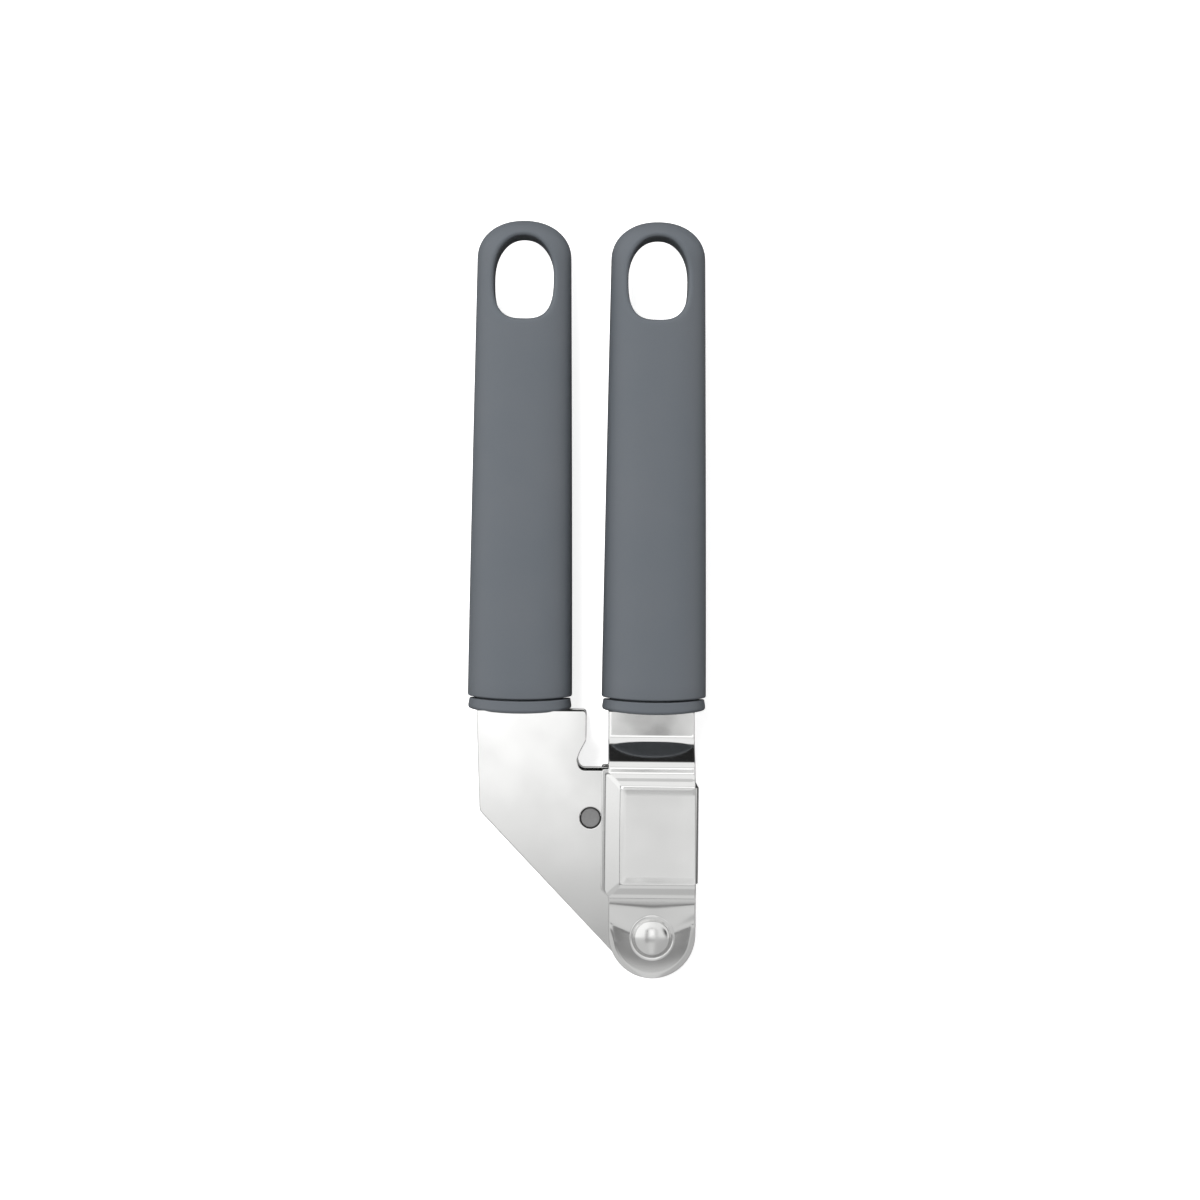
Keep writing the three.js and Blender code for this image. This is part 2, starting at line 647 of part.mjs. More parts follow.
// One rivet through both tangs and their spacer.
function tieRivet(axis, y) {
  const under = TANG_HALF + CLEARANCE;
  const half = [
    [TIE_RADIUS, under],
    [TIE_HEAD, under],
    [TIE_HEAD * 0.85, under + TIE_HEAD_HEIGHT],
    [0, under + TIE_HEAD_HEIGHT],
  ];
  const other = half.map(([radius, height]) => [radius, -height]).reverse();
  const mesh = turned([...other, ...half], 16);
  return mesh.translate([axis, y, 0]);
}

// ---- Assembly -----------------------------------------------------------------------------------

// A near sheet and the same sheet mirrored through the mid-plane.
function pair(name, made, material) {
  return [piece(name + "_near", made, material), piece(name + "_far", made.mirror([0, 0, 1]), material)];
}

function handle(side, axis, outerLine, armHalf, left, right) {
  const group = new THREE.Group();
  group.add(piece(side + "_grip", grip(), greyPlastic));
  group.add(piece(side + "_collar", collar(outerLine, armHalf, left, right), greyPlastic));
  group.position.x = axis;
  const inside = new THREE.Group();
  inside.add(piece(side + "_tang_core", tangCore(axis), nylon));
  tiePlaces().forEach((y, i) => {
    inside.add(piece(side + "_tang_rivet_" + (i + 1), tieRivet(axis, y), satinSteel));
  });
  return [group, inside];
}

const chamberArm = new THREE.Group();
chamberArm.add(...pair("chamber_cheek", chamberCheek(), steel));
chamberArm.add(piece("strainer", strainer(), brightSteel));
chamberArm.add(piece("pivot_rivet", pivotRivet(), brightSteel));
chamberArm.add(...handle("right", 0, strapLine(), TANG_HALF, -NECK_LEFT, NECK_RIGHT));

const plungerArm = new THREE.Group();
plungerArm.add(...pair("plunger_cheek", plungerCheek(), steel));
plungerArm.add(piece("pivot_bush", pivotBush(), satinSteel));
plungerArm.add(piece("hinge_pin", hingePin(), satinSteel));
plungerArm.add(...handle("left", -ARM_SPACING, plateLine(), ARM_HALF, -PLATE_LEFT, PLATE_RIGHT));

const plunger = new THREE.Group();
plunger.add(piece("plunger_plate", plungerPlate(), brightSteel));
plunger.add(piece("plunger_bracket", plungerBracket(), steel));
plunger.add(piece("plunger_sleeve", plungerSleeve(), satinSteel));

const press = new THREE.Group();
press.add(chamberArm, plungerArm, plunger);
press.position.set(ARM_SPACING / 2, -(TIP - STRAP_END + END_SHIFT) / 2, LOWEST);

export default press;
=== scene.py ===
"""Looks of a garlic press: pressed and polished steel arms, a domed rivet and moulded grey handles.

Shapes are drawn in millimetres about the pivot rivet: x across the arms, y along them, z from the press's
mid-plane. place() turns them into the frame's metres.
"""

import json
import math

import bmesh
import bpy
from mathutils import Matrix, Vector
from mathutils.geometry import delaunay_2d_cdt


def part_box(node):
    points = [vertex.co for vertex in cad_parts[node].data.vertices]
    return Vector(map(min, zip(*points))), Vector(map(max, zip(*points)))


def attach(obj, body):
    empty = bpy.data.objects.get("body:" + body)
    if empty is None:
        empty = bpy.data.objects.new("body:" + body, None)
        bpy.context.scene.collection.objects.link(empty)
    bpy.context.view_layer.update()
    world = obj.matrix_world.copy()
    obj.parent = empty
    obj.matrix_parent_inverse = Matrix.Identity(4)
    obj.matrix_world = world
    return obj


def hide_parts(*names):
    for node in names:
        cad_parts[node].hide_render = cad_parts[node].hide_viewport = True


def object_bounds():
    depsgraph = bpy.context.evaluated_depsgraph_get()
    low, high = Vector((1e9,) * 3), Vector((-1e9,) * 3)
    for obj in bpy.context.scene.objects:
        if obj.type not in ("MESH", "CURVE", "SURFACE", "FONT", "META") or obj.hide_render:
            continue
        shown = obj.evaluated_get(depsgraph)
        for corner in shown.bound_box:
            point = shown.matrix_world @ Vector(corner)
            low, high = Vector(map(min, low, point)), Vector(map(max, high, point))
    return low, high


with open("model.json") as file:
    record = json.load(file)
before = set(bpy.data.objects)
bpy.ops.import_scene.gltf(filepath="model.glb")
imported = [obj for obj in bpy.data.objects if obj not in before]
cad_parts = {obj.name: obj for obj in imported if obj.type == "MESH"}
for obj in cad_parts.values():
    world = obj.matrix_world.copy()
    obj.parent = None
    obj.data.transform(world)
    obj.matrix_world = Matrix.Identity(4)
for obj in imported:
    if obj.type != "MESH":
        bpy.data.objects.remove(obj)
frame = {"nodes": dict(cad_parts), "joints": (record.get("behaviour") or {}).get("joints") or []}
cad_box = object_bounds()

MM = 0.001
JOINTS = {joint["name"]: joint for joint in frame["joints"]}
PIVOT = Vector(JOINTS["arm_open"]["pos_m"])
HINGE = (Vector(JOINTS["plunger_tilt"]["pos_m"]) - PIVOT) / MM


def place(x, y, z):
    return PIVOT + Vector((x, y, z)) * MM


def node_span(node):
    """A node's lowest and highest corners, in millimetres about the pivot."""
    low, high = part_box(node)
    return (Vector(low) - PIVOT) / MM, (Vector(high) - PIVOT) / MM


# ---- Sizes, from the frame's nodes --------------------------------------------------------------

cheek_low, cheek_high = node_span("chamber_cheek_near")
plate_low, plate_high = node_span("plunger_cheek_near")
strainer_low, strainer_high = node_span("strainer")
plunger_low, plunger_high = node_span("plunger_plate")
bracket_high = node_span("plunger_bracket")[1]
grip_low, grip_high = node_span("right_grip")
left_low, left_high = node_span("left_grip")
collar_low = node_span("right_collar")[0]
rivet_high = node_span("pivot_rivet")[1]
bush_high = node_span("pivot_bush")[1]
sleeve_high = node_span("plunger_sleeve")[1]
pin_high = node_span("hinge_pin")[1]

SHEET = 1.2  # steel thickness
RIVET_HOLE = 2.8  # radii of the holes in the sheets
PIN_HOLE = 2.45
LEFT_AXIS = (left_low.x + left_high.x) / 2
PANEL_RISE = 1.6  # from the strap round the pocket up to the pocket's panel
RIM_RISE = 0.5  # from the strap at the pivot up to the strap round the pocket
PANEL_OUTER = cheek_high.z
RIM_OUTER = PANEL_OUTER - PANEL_RISE
PIVOT_OUTER = RIM_OUTER - RIM_RISE
ARM_OUTER = plate_high.z
TANG_OUTER = cheek_low.z + SHEET
SHOULDER = collar_low.y + 0.7  # where both sheets narrow to their tangs, inside the collar
TANG_TOP = cheek_high.y
TANG_HALF_WIDTH = 6.5

STRAP_RADIUS = cheek_high.x
END_SHIFT = cheek_low.y + STRAP_RADIUS
NECK_LEFT = -10.5
NECK_RIGHT = 9.4
NECK_FOOT = 39.6  # the strap drops to the tang between these two heights
NECK_BEND = 45.0
NECK_SLOPE = (RIM_OUTER - TANG_OUTER) / (NECK_BEND - NECK_FOOT)
STEP_FOOT = 4.1  # the strap steps up from the pivot between these two heights
STEP_TOP = 7.4
STEP_DIP = 0.53  # how steeply the step's foot dips towards the rivet
BEVEL_RUN = 2.0
POCKET_LEFT = -8.1 - BEVEL_RUN  # feet of the pocket's sloping border
POCKET_LOW = 11.7 - BEVEL_RUN
POCKET_HIGH = 35.2 + BEVEL_RUN
LIP_LEFT = cheek_low.x
LIP_HIGH = POCKET_HIGH + 1.4
DISH = 0.09  # hollow in the middle of the panel
LIP_DROOP = 0.06
FALL_START = 4.5  # the round end falls gently beyond this radius, and rolls over beyond the next
FALL = 0.0035
ROLL_START = 8.5
ROLL = 0.12
COIN_RADIUS = 4.95  # the fine ring round the rivet
COIN_HEIGHT = 0.06
COIN_WIDTH = 0.14


# ---- Curves -------------------------------------------------------------------------------------


def ramp(u, width):
    """0 before the corner and u after it, rounded over a width."""
    if u <= -width / 2:
        return 0.0
    if u >= width / 2:
        return u
    return (u + width / 2) ** 2 / (2 * width)


def step(u, run, soft):
    """Rises from 0 to 1 over a run, with both corners rounded."""
    return (ramp(u, soft) - ramp(u - run, soft)) / run


def soft_min(a, b, blend):
    share = max(0.0, min(1.0, 0.5 + (b - a) / (2 * blend)))
    return b * (1 - share) + a * share - blend * share * (1 - share)


def rounded_outline(corners, spacing=0.6):
    """A closed outline through (x, y, radius) corners, run anticlockwise, as evenly spaced points."""
    count = len(corners)
    line = []
    for i, (x, y, radius) in enumerate(corners):
        here = Vector((x, y))
        before = Vector(corners[i - 1][:2]) - here
        after = Vector(corners[(i + 1) % count][:2]) - here
        half = before.angle(after) / 2
        reach = min(radius / math.tan(half), before.length * 0.49, after.length * 0.49)
        if radius <= 0 or half > math.radians(89.5):
            line.append(here)
            continue
        start = here + before.normalized() * reach
        end = here + after.normalized() * reach
        fitted = reach * math.tan(half)
        centre = here + (before.normalized() + after.normalized()).normalized() * (
            fitted / math.sin(half)
        )
        first = (start - centre).normalized()
        turn = math.pi - 2 * half
        sign = 1 if (start - centre).cross(end - centre) > 0 else -1
        pieces = max(3, int(turn * fitted / (spacing * 0.6)) + 1)
        for k in range(pieces + 1):
            a = sign * turn * k / pieces
            line.append(centre + Matrix.Rotation(a, 2) @ first * fitted)
    return resample(line, spacing)


def resample(line, spacing):
    """Adds points on the long straight stretches of a closed outline, and drops doubled ones."""
    points = []
    for i, p in enumerate(line):
        q = line[(i + 1) % len(line)]
        gap = (q - p).length
        if gap < 1e-4:
            continue
        parts = max(1, int(gap / spacing))
        points.extend(p.lerp(q, k / parts) for k in range(parts))
    return points


def circle(x, y, radius, sides=48):
    angles = (2 * math.pi * k / sides for k in range(sides))
    return [Vector((x + radius * math.cos(a), y + radius * math.sin(a))) for a in angles]


def moved_inwards(points, distance):
    """A closed outline moved to its left by a distance: inwards, if it runs anticlockwise."""
    count = len(points)
    result = []
    for i, p in enumerate(points):
        before = (p - points[i - 1]).normalized()
        after = (points[(i + 1) % count] - p).normalized()
        n1 = Vector((-before.y, before.x))
        n2 = Vector((-after.y, after.x))
        n = (n1 + n2).normalized()
        result.append(p + n * (distance / max(0.5, n.dot(n1))))
    return result


def inside(p, loop):
    found = False
    for i, a in enumerate(loop):
        b = loop[i - 1]
        if (a.y > p.y) != (b.y > p.y) and p.x < (b.x - a.x) * (p.y - a.y) / (b.y - a.y) + a.x:
            found = not found
    return found


def spread(low, high, coarse, fine, bends=()):
    """Grid lines from low to high: coarse in between and fine around each (place, reach) bend."""
    lines = [low]
    while lines[-1] < high:
        near = any(abs(lines[-1] - at) < reach for at, reach in bends)
        lines.append(lines[-1] + (fine if near else coarse))
    return lines


# ---- Building meshes ----------------------------------------------------------------------------


def add_piece(name, body, nodes, verts, faces, material, normals=None):
    """A smooth mesh that rides on a body and stands for CAD nodes."""
    mesh = bpy.data.meshes.new(name)
    mesh.from_pydata([tuple(v) for v in verts], [], faces)
    mesh.validate()
    bm = bmesh.new()
    bm.from_mesh(mesh)
    if normals is None:
        bmesh.ops.recalc_face_normals(bm, faces=bm.faces)
    for face in bm.faces:
        face.smooth = True
    bm.to_mesh(mesh)
    bm.free()
    if normals is not None:
        mesh.normals_split_custom_set_from_vertices([tuple(n) for n in normals])
    mesh.materials.append(material)
    made = bpy.data.objects.new(name, mesh)
    bpy.context.scene.collection.objects.link(made)
    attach(made, body)
    if nodes:
        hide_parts(*nodes)
    return made


def plate(outline, holes, top, thick, lines, edge=0.28, back_edge=None, rings=3, extra=(), bare=None):
    """The points, normals and faces of a plate with rounded edges.

    top(u, v) is its outer face's height and thick(u, v) its thickness, measured square to that face.
    lines are the grid lines (us, vs) that carry the face's shape between the outlines. extra are further
    points, which take over from the grid wherever bare(point) is true.
    """
    back_edge = edge if back_edge is None else back_edge
    points, normals, faces = [], [], []

    def face_normal(u, v):
        h = 0.01
        slope_u = (top(u + h, v) - top(u - h, v)) / (2 * h)
        slope_v = (top(u, v + h) - top(u, v - h)) / (2 * h)
        return Vector((-slope_u, -slope_v, 1)).normalized()

    def add(p, depth, lean, outward):
        """A point this deep under the face at p; its normal leans from the face's towards outward."""
        n = face_normal(p.x, p.y)
        base = Vector((p.x, p.y, top(p.x, p.y)))
        points.append(base - n * depth)
        flat = Vector((outward.x, outward.y, 0)) if outward else Vector((0, 0, 0))
        normals.append((n * math.sin(lean) + flat * math.cos(lean)).normalized())
        return len(points) - 1

    inner_loops = {1: [], -1: []}
    for loop in [outline] + holes:
        inward = moved_inwards(loop, 1.0)
        outward = [(a - b).normalized() for a, b in zip(loop, inward)]
        ladder = []
        for side, radius in ((1, edge), (-1, back_edge)):
            turns = range(rings + 1) if side == 1 else range(rings, -1, -1)
            side_rings = []
            for k in turns:
                a = math.pi / 2 * (1 - k / rings)
                line = moved_inwards(loop, radius * (1 - math.cos(a)))
                sink = radius * (1 - math.sin(a))
                ring = []
                for p, away in zip(line, outward):
                    depth = sink if side == 1 else thick(p.x, p.y) - sink
                    ring.append(add(p, depth, side * a, away))
                side_rings.append(ring)
            ladder.extend(side_rings)
        count = len(loop)
        for lower, upper in zip(ladder, ladder[1:]):
            for i in range(count):
                j = (i + 1) % count
                faces.append((lower[i], upper[i], upper[j], lower[j]))
        inner_loops[1].append((ladder[0], moved_inwards(loop, edge)))
        inner_loops[-1].append((ladder[-1], moved_inwards(loop, back_edge)))

    for side in (1, -1):
        loops = inner_loops[side]
        flat_points, owners, edges = [], [], []
        for ring, line in loops:
            first = len(flat_points)
            flat_points.extend(line)
            owners.extend(ring)
            edges.extend((first + i, first + (i + 1) % len(line)) for i in range(len(line)))
        margin = 0.5 * min(0.3, edge if side == 1 else back_edge)
        borders = [line for ring, line in loops]
        keepers = [moved_inwards(line, margin) for line in borders]
        grid = [Vector((u, v)) for u in lines[0] for v in lines[1]]
        grid = [p for p in grid if not (bare and bare(p))] + list(extra)
        for p in grid:
            if inside(p, keepers[0]) and not any(inside(p, k) for k in keepers[1:]):
                flat_points.append(p)
                depth = 0.0 if side == 1 else thick(p.x, p.y)
                owners.append(add(p, depth, side * math.pi / 2, None))
        made = delaunay_2d_cdt(flat_points, edges, [], 0, 1e-6)
        origin = [source[0] if source else None for source in made[3]]
        for triangle in made[2]:
            a, b, c = (made[0][i] for i in triangle)
            middle = (a + b + c) / 3
            if not inside(middle, borders[0]) or any(inside(middle, k) for k in borders[1:]):
                continue
            corners = [owners[origin[i]] for i in triangle]
            if (b - a).cross(c - a) * side < 0:
                corners.reverse()
            faces.append(tuple(corners))
    return points, normals, faces


def turned(profile, x, y, sides=64, ring=False):
    """Points and faces of a body turned about a vertical axis. A ring's profile is a closed loop."""
    verts, faces = [], []
    loops = []
    for radius, z in profile:
        if radius < 1e-6:
            verts.append(place(x, y, z))
            loops.append([len(verts) - 1])
            continue
        first = len(verts)
        for k in range(sides):
            a = 2 * math.pi * k / sides
            verts.append(place(x + radius * math.cos(a), y + radius * math.sin(a), z))
        loops.append(list(range(first, first + sides)))
    pairs = list(zip(loops, loops[1:])) + ([(loops[-1], loops[0])] if ring else [])
    for lower, upper in pairs:
        for k in range(sides):
            j = (k + 1) % sides
            if len(lower) == 1:
                faces.append((lower[0], upper[k], upper[j]))
            elif len(upper) == 1:
                faces.append((lower[k], lower[j], upper[0]))
            else:
                faces.append((lower[k], lower[j], upper[j], upper[k]))
    return verts, faces


# ---- Materials ----------------------------------------------------------------------------------


def linear(code):
    """An sRGB hex colour as linear RGBA."""
    channels = [int(code[i : i + 2], 16) / 255 for i in (1, 3, 5)]
    return [c / 12.92 if c <= 0.04045 else ((c + 0.055) / 1.055) ** 2.4 for c in channels] + [1.0]


def node(tree, kind, inputs=None, **settings):
    """Adds a node. Each input is a value, or the (node, socket) it is linked from."""
    made = tree.nodes.new(kind)
    for key, value in settings.items():
        setattr(made, key, value)
    for key, value in (inputs or {}).items():
        if isinstance(value, tuple) and isinstance(value[0], bpy.types.Node):
            tree.links.new(value[0].outputs[value[1]], made.inputs[key])
        else:
            made.inputs[key].default_value = value
    return made


def finish_material(name, **shader_values):
    """A new material with a Principled shader; returns it with its tree, shader and coordinates."""
    material = bpy.data.materials.new(name)
    material.use_nodes = True
    tree = material.node_tree
    tree.nodes.clear()
    shader = node(tree, "ShaderNodeBsdfPrincipled", shader_values)
    node(tree, "ShaderNodeOutputMaterial", {"Surface": (shader, "BSDF")})
    coordinates = node(tree, "ShaderNodeTexCoord")
    return material, tree, shader, coordinates


def polished_stainless(name, clear, dull):
    """18/10 stainless, stamped or headed and then tumble polished.

    It mirrors softly: the polish leaves a faint cloud in the gloss and hairline scratches.
    """
    material, tree, shader, coords = finish_material(name, Metallic=1.0)
    # The clouds are about 11 mm across.
    cloud = node(tree, "ShaderNodeTexNoise", {"Vector": (coords, "Object"), "Scale": 90.0, "Detail": 3.0})
    gloss = node(
        tree,
        "ShaderNodeMapRange",
        {"Value": (cloud, "Fac"), "From Min": 0.3, "From Max": 0.7, "To Min": clear, "To Max": dull},
    )
    tree.links.new(gloss.outputs["Result"], shader.inputs["Roughness"])
    tint = node(
        tree,
        "ShaderNodeMix",
        {"Factor": (cloud, "Fac"), "A": linear("#e2e2e1"), "B": linear("#dcdcdb")},
        data_type="RGBA",
    )
    tree.links.new(tint.outputs["Result"], shader.inputs["Base Color"])
    # Hairlines are 0.15 mm apart and run across the arms, stretched along x.
    stretched = node(
        tree, "ShaderNodeMapping", {"Vector": (coords, "Object"), "Scale": (200.0, 6500.0, 6500.0)}
    )
    hairs = node(tree, "ShaderNodeTexNoise", {"Vector": (stretched, "Vector"), "Scale": 1.0, "Detail": 2.0})
    bump = node(
        tree, "ShaderNodeBump", {"Height": (hairs, "Fac"), "Strength": 0.05, "Distance": 0.00001}
    )
    tree.links.new(bump.outputs["Normal"], shader.inputs["Normal"])
    return material


def turned_steel():
    """Plain carbon steel rod, turned and zinc plated: duller and greyer than the sheet, with a fine bloom."""
    material, tree, shader, coords = finish_material("mild_steel_turned_plated", Metallic=1.0)
    # The bloom's specks are really under 0.1 mm; they are drawn at 0.7 mm so that they show.
    noise = node(tree, "ShaderNodeTexNoise", {"Vector": (coords, "Object"), "Scale": 1500.0, "Detail": 4.0})
    tint = node(
        tree,
        "ShaderNodeMix",
        {"Factor": (noise, "Fac"), "A": linear("#8b8b8b"), "B": linear("#a2a2a2")},
        data_type="RGBA",
    )
    tree.links.new(tint.outputs["Result"], shader.inputs["Base Color"])
    gloss = node(
        tree, "ShaderNodeMapRange", {"Value": (noise, "Fac"), "To Min": 0.38, "To Max": 0.55}
    )
    tree.links.new(gloss.outputs["Result"], shader.inputs["Roughness"])
    bump = node(
        tree, "ShaderNodeBump", {"Height": (noise, "Fac"), "Strength": 0.2, "Distance": 0.00003}
    )
    tree.links.new(bump.outputs["Normal"], shader.inputs["Normal"])
    return material


def moulded_polypropylene():
    """Slate grey polypropylene, injection moulded in a spark-eroded tool.

    The tool leaves an even fine grain that scatters the light, so the handles look soft and dry.
    """
    material, tree, shader, coords = finish_material("polypropylene_slate_spark_eroded", IOR=1.49)
    # The grain is really about 0.1 mm; it is drawn at 0.35 mm so that it shows.
    grain = node(tree, "ShaderNodeTexNoise", {"Vector": (coords, "Object"), "Scale": 2800.0, "Detail": 3.0})
    # Slow changes of tone, about 17 mm across, come from the way that the melt fills the mould.
    broad = node(tree, "ShaderNodeTexNoise", {"Vector": (coords, "Object"), "Scale": 60.0, "Detail": 2.0})
    tint = node(
        tree,
        "ShaderNodeMix",
        {"Factor": (broad, "Fac"), "A": linear("#5d6369"), "B": linear("#64686d")},
        data_type="RGBA",
    )
    tree.links.new(tint.outputs["Result"], shader.inputs["Base Color"])
    gloss = node(
        tree, "ShaderNodeMapRange", {"Value": (grain, "Fac"), "To Min": 0.46, "To Max": 0.62}
    )
    tree.links.new(gloss.outputs["Result"], shader.inputs["Roughness"])
    bump = node(
        tree, "ShaderNodeBump", {"Height": (grain, "Fac"), "Strength": 0.25, "Distance": 0.00004}
    )
    tree.links.new(bump.outputs["Normal"], shader.inputs["Normal"])
    return material


def natural_nylon():
    """Unpigmented nylon, moulded: milky, slightly glossy."""
    material, tree, shader, coords = finish_material("nylon_natural_moulded", IOR=1.53)
    # Faint milky patches, 2.5 mm across.
    noise = node(tree, "ShaderNodeTexNoise", {"Vector": (coords, "Object"), "Scale": 400.0, "Detail": 2.0})
    tint = node(
        tree,
        "ShaderNodeMix",
        {"Factor": (noise, "Fac"), "A": linear("#d2d0c6"), "B": linear("#dbd9d1")},
        data_type="RGBA",
    )
    tree.links.new(tint.outputs["Result"], shader.inputs["Base Color"])
    gloss = node(tree, "ShaderNodeMapRange", {"Value": (noise, "Fac"), "To Min": 0.4, "To Max": 0.5})
    tree.links.new(gloss.outputs["Result"], shader.inputs["Roughness"])
    return material


STAINLESS = polished_stainless("stainless_steel_tumble_polished", 0.07, 0.12)
HEADED = polished_stainless("stainless_steel_cold_headed", 0.17, 0.23)  # a blunter gloss
TURNED = turned_steel()
PLASTIC = moulded_polypropylene()
NYLON = natural_nylon()

for hidden, material in (
    ("tang_core", NYLON),
    ("tang_rivet_1", TURNED),
    ("tang_rivet_2", TURNED),
):
    for side in ("left", "right"):
        slots = frame["nodes"][f"{side}_{hidden}"].data.materials
        slots.clear()
        slots.append(material)

# ---- Steel sheets -------------------------------------------------------------------------------


def add_steel(name, body, node_name, verts, faces, normals=None, material=STAINLESS):
    return add_piece(name, body, [node_name], verts, faces, material, normals)


def strap_height(x, y):
    """The chamber arm's outer face above the mid-plane."""
    z = PIVOT_OUTER
    # A step lifts the strap off the pivot. Its foot dips towards the rivet.
    foot = STEP_FOOT - STEP_DIP * (10.0 - math.sqrt(x * x + 1.0))
    z += RIM_RISE * step(y - foot, STEP_TOP - foot, 1.8)
    z -= 0.02 * ramp(STEP_FOOT - y, 1.0)
    z -= NECK_SLOPE * (ramp(y - NECK_FOOT, 1.8) - ramp(y - NECK_BEND, 2.2))
    border = soft_min(y - POCKET_LOW, POCKET_HIGH - y, 0.7)
    border = soft_min(border, x - POCKET_LEFT, 0.7)
    z += PANEL_RISE * step(border, BEVEL_RUN, 1.3)
    # The panel dishes in slightly, and the lip beyond its border droops.
    middle = (POCKET_LOW + POCKET_HIGH) / 2
    dish = (y - middle) / (POCKET_HIGH - middle)
    z -= DISH * (1 - dish * dish) * max(0.0, min(1.0, (border - BEVEL_RUN) / 2.0))
    z -= LIP_DROOP * ramp(POCKET_LEFT - x, 0.6) * max(0.0, min(1.0, (y - POCKET_LOW + 2) / 2))
    # The round end falls gently away from the rivet and rolls over at its rim. A fine ring is coined
    # round the rivet.
    reach = math.hypot(x, min(y - END_SHIFT, 0.0))
    fade = max(0.0, min(1.0, (3.0 - y) / 4.0))
    z -= fade * (FALL * max(0.0, reach - FALL_START) ** 2 + ROLL * max(0.0, reach - ROLL_START) ** 2)
    ring = (math.hypot(x, y) - COIN_RADIUS) / COIN_WIDTH
    z += COIN_HEIGHT * math.exp(-ring * ring)
    return z


def strap_outline():
    """The chamber arm's sheet, from the round end up its right side and down its left one."""
    corners = [(STRAP_RADIUS, END_SHIFT, 0)]
    corners += [
        (NECK_RIGHT, SHOULDER, 0.3),
        (TANG_HALF_WIDTH, SHOULDER, 0.4),
        (TANG_HALF_WIDTH, TANG_TOP, 2),
        (-TANG_HALF_WIDTH, TANG_TOP, 2),
        (-TANG_HALF_WIDTH, SHOULDER, 0.4),
        (NECK_LEFT, SHOULDER, 0.3),
        (-10.35, LIP_HIGH, 0.3),
        (LIP_LEFT, LIP_HIGH, 0.6),
        (LIP_LEFT, POCKET_LOW + 1.2, 1.0),
        (-10.1, POCKET_LOW - 0.3, 1.0),
        (-STRAP_RADIUS, END_SHIFT, 0),
    ]
    for k in range(1, 32):
        a = math.pi + math.pi * k / 32
        corners.append((STRAP_RADIUS * math.cos(a), END_SHIFT + STRAP_RADIUS * math.sin(a), 0))
    return rounded_outline(corners)


def sheet_pair(name, nodes, body, shape):
    """The near sheet and its mirror image on the far side."""
    points, normals, faces = shape
    for sign, node_name in zip((1, -1), nodes):
        verts = [place(p.x, p.y, sign * p.z) for p in points]
        turned_normals = [Vector((n.x, n.y, sign * n.z)) for n in normals]
        ordered = faces if sign == 1 else [tuple(reversed(f)) for f in faces]
        side = "near" if sign == 1 else "far"
        add_steel(f"{name}_{side}", body, node_name, verts, ordered, turned_normals)


def chamber_sheets():
    bends = [(5, 4), (POCKET_LOW + 1, 2), (POCKET_HIGH - 1, 2), (42.4, 4.2)]
    vs = spread(cheek_low.y, 53, 0.7, 0.28, bends) + spread(55, TANG_TOP, 3, 3)
    us = spread(LIP_LEFT, STRAP_RADIUS, 0.7, 0.28, [(POCKET_LEFT + 1, 1.6)])
    holes = [circle(0, 0, RIVET_HOLE)[::-1]]
    # Fine circles round the rivet, and arcs along the rolled end, take the place of the grid there.
    extra = [p for k in range(13) for p in circle(0, 0, 4.5 + 0.075 * k, 96)]
    for k in range(9):
        arc = circle(0, END_SHIFT, 7.7 + 0.24 * k, 144)
        extra += [p for p in arc if p.y < END_SHIFT]

    def bare(p):
        reach = math.hypot(p.x, p.y)
        rolled = p.y < END_SHIFT and math.hypot(p.x, p.y - END_SHIFT) > 7.5
        return 4.3 < reach < 5.6 or rolled

    shape = plate(
        strap_outline(), holes, strap_height, lambda u, v: SHEET, (us, vs), extra=extra, bare=bare
    )
    sheet_pair("chamber_arm_sheet", ("chamber_cheek_near", "chamber_cheek_far"), "chamber_arm", shape)


def plate_outline():
    """The plunger arm's sheet: an eye round the rivet, a notched right side and a long slanting edge."""
    right = LEFT_AXIS + 15.5
    left = LEFT_AXIS - 9.75
    slope = math.radians(46.2)
    eye = 9.0
    waist = -8.5  # the right side's edge beside the chamber
    notch = 38.1
    touch = Vector((-math.sin(slope), -math.cos(slope))) * eye
    corner_x = left + 0.95
    corner_y = touch.y + (touch.x - corner_x) * math.tan(slope)
    corners = [(touch.x, touch.y, 0)]
    start = math.atan2(touch.y, touch.x)
    for k in range(1, 40):
        a = start + (math.pi / 2 - start) * k / 40
        corners.append((eye * math.cos(a), eye * math.sin(a), 0))
    corners += [
        (-4.4, eye, 1.5),
        (waist, 13.9, 4),
        (waist, notch, 0.3),
        (right - 1.4, notch, 1.7),
        (right - 2.0, 40.4, 1.0),
        (right - 1.4, 42.2, 1.0),
        (right, 44.9, 1.0),
        (right, SHOULDER, 0.8),
        (LEFT_AXIS + TANG_HALF_WIDTH, SHOULDER, 0.3),
        (LEFT_AXIS + TANG_HALF_WIDTH, plate_high.y, 2),
        (LEFT_AXIS - TANG_HALF_WIDTH, plate_high.y, 2),
        (LEFT_AXIS - TANG_HALF_WIDTH, SHOULDER, 0.3),
        (left, SHOULDER, 0.3),
        (corner_x, corner_y, 2.2),
    ]
    return rounded_outline(corners)


def plate_height(x, y):
    """The plunger arm's outer face: flat, then dropping to the tang at 45 degrees inside the collar."""
    drop = ARM_OUTER - TANG_OUTER
    past = y - SHOULDER - 0.4
    return ARM_OUTER - (ramp(past, 0.8) - ramp(past - drop, 0.8))


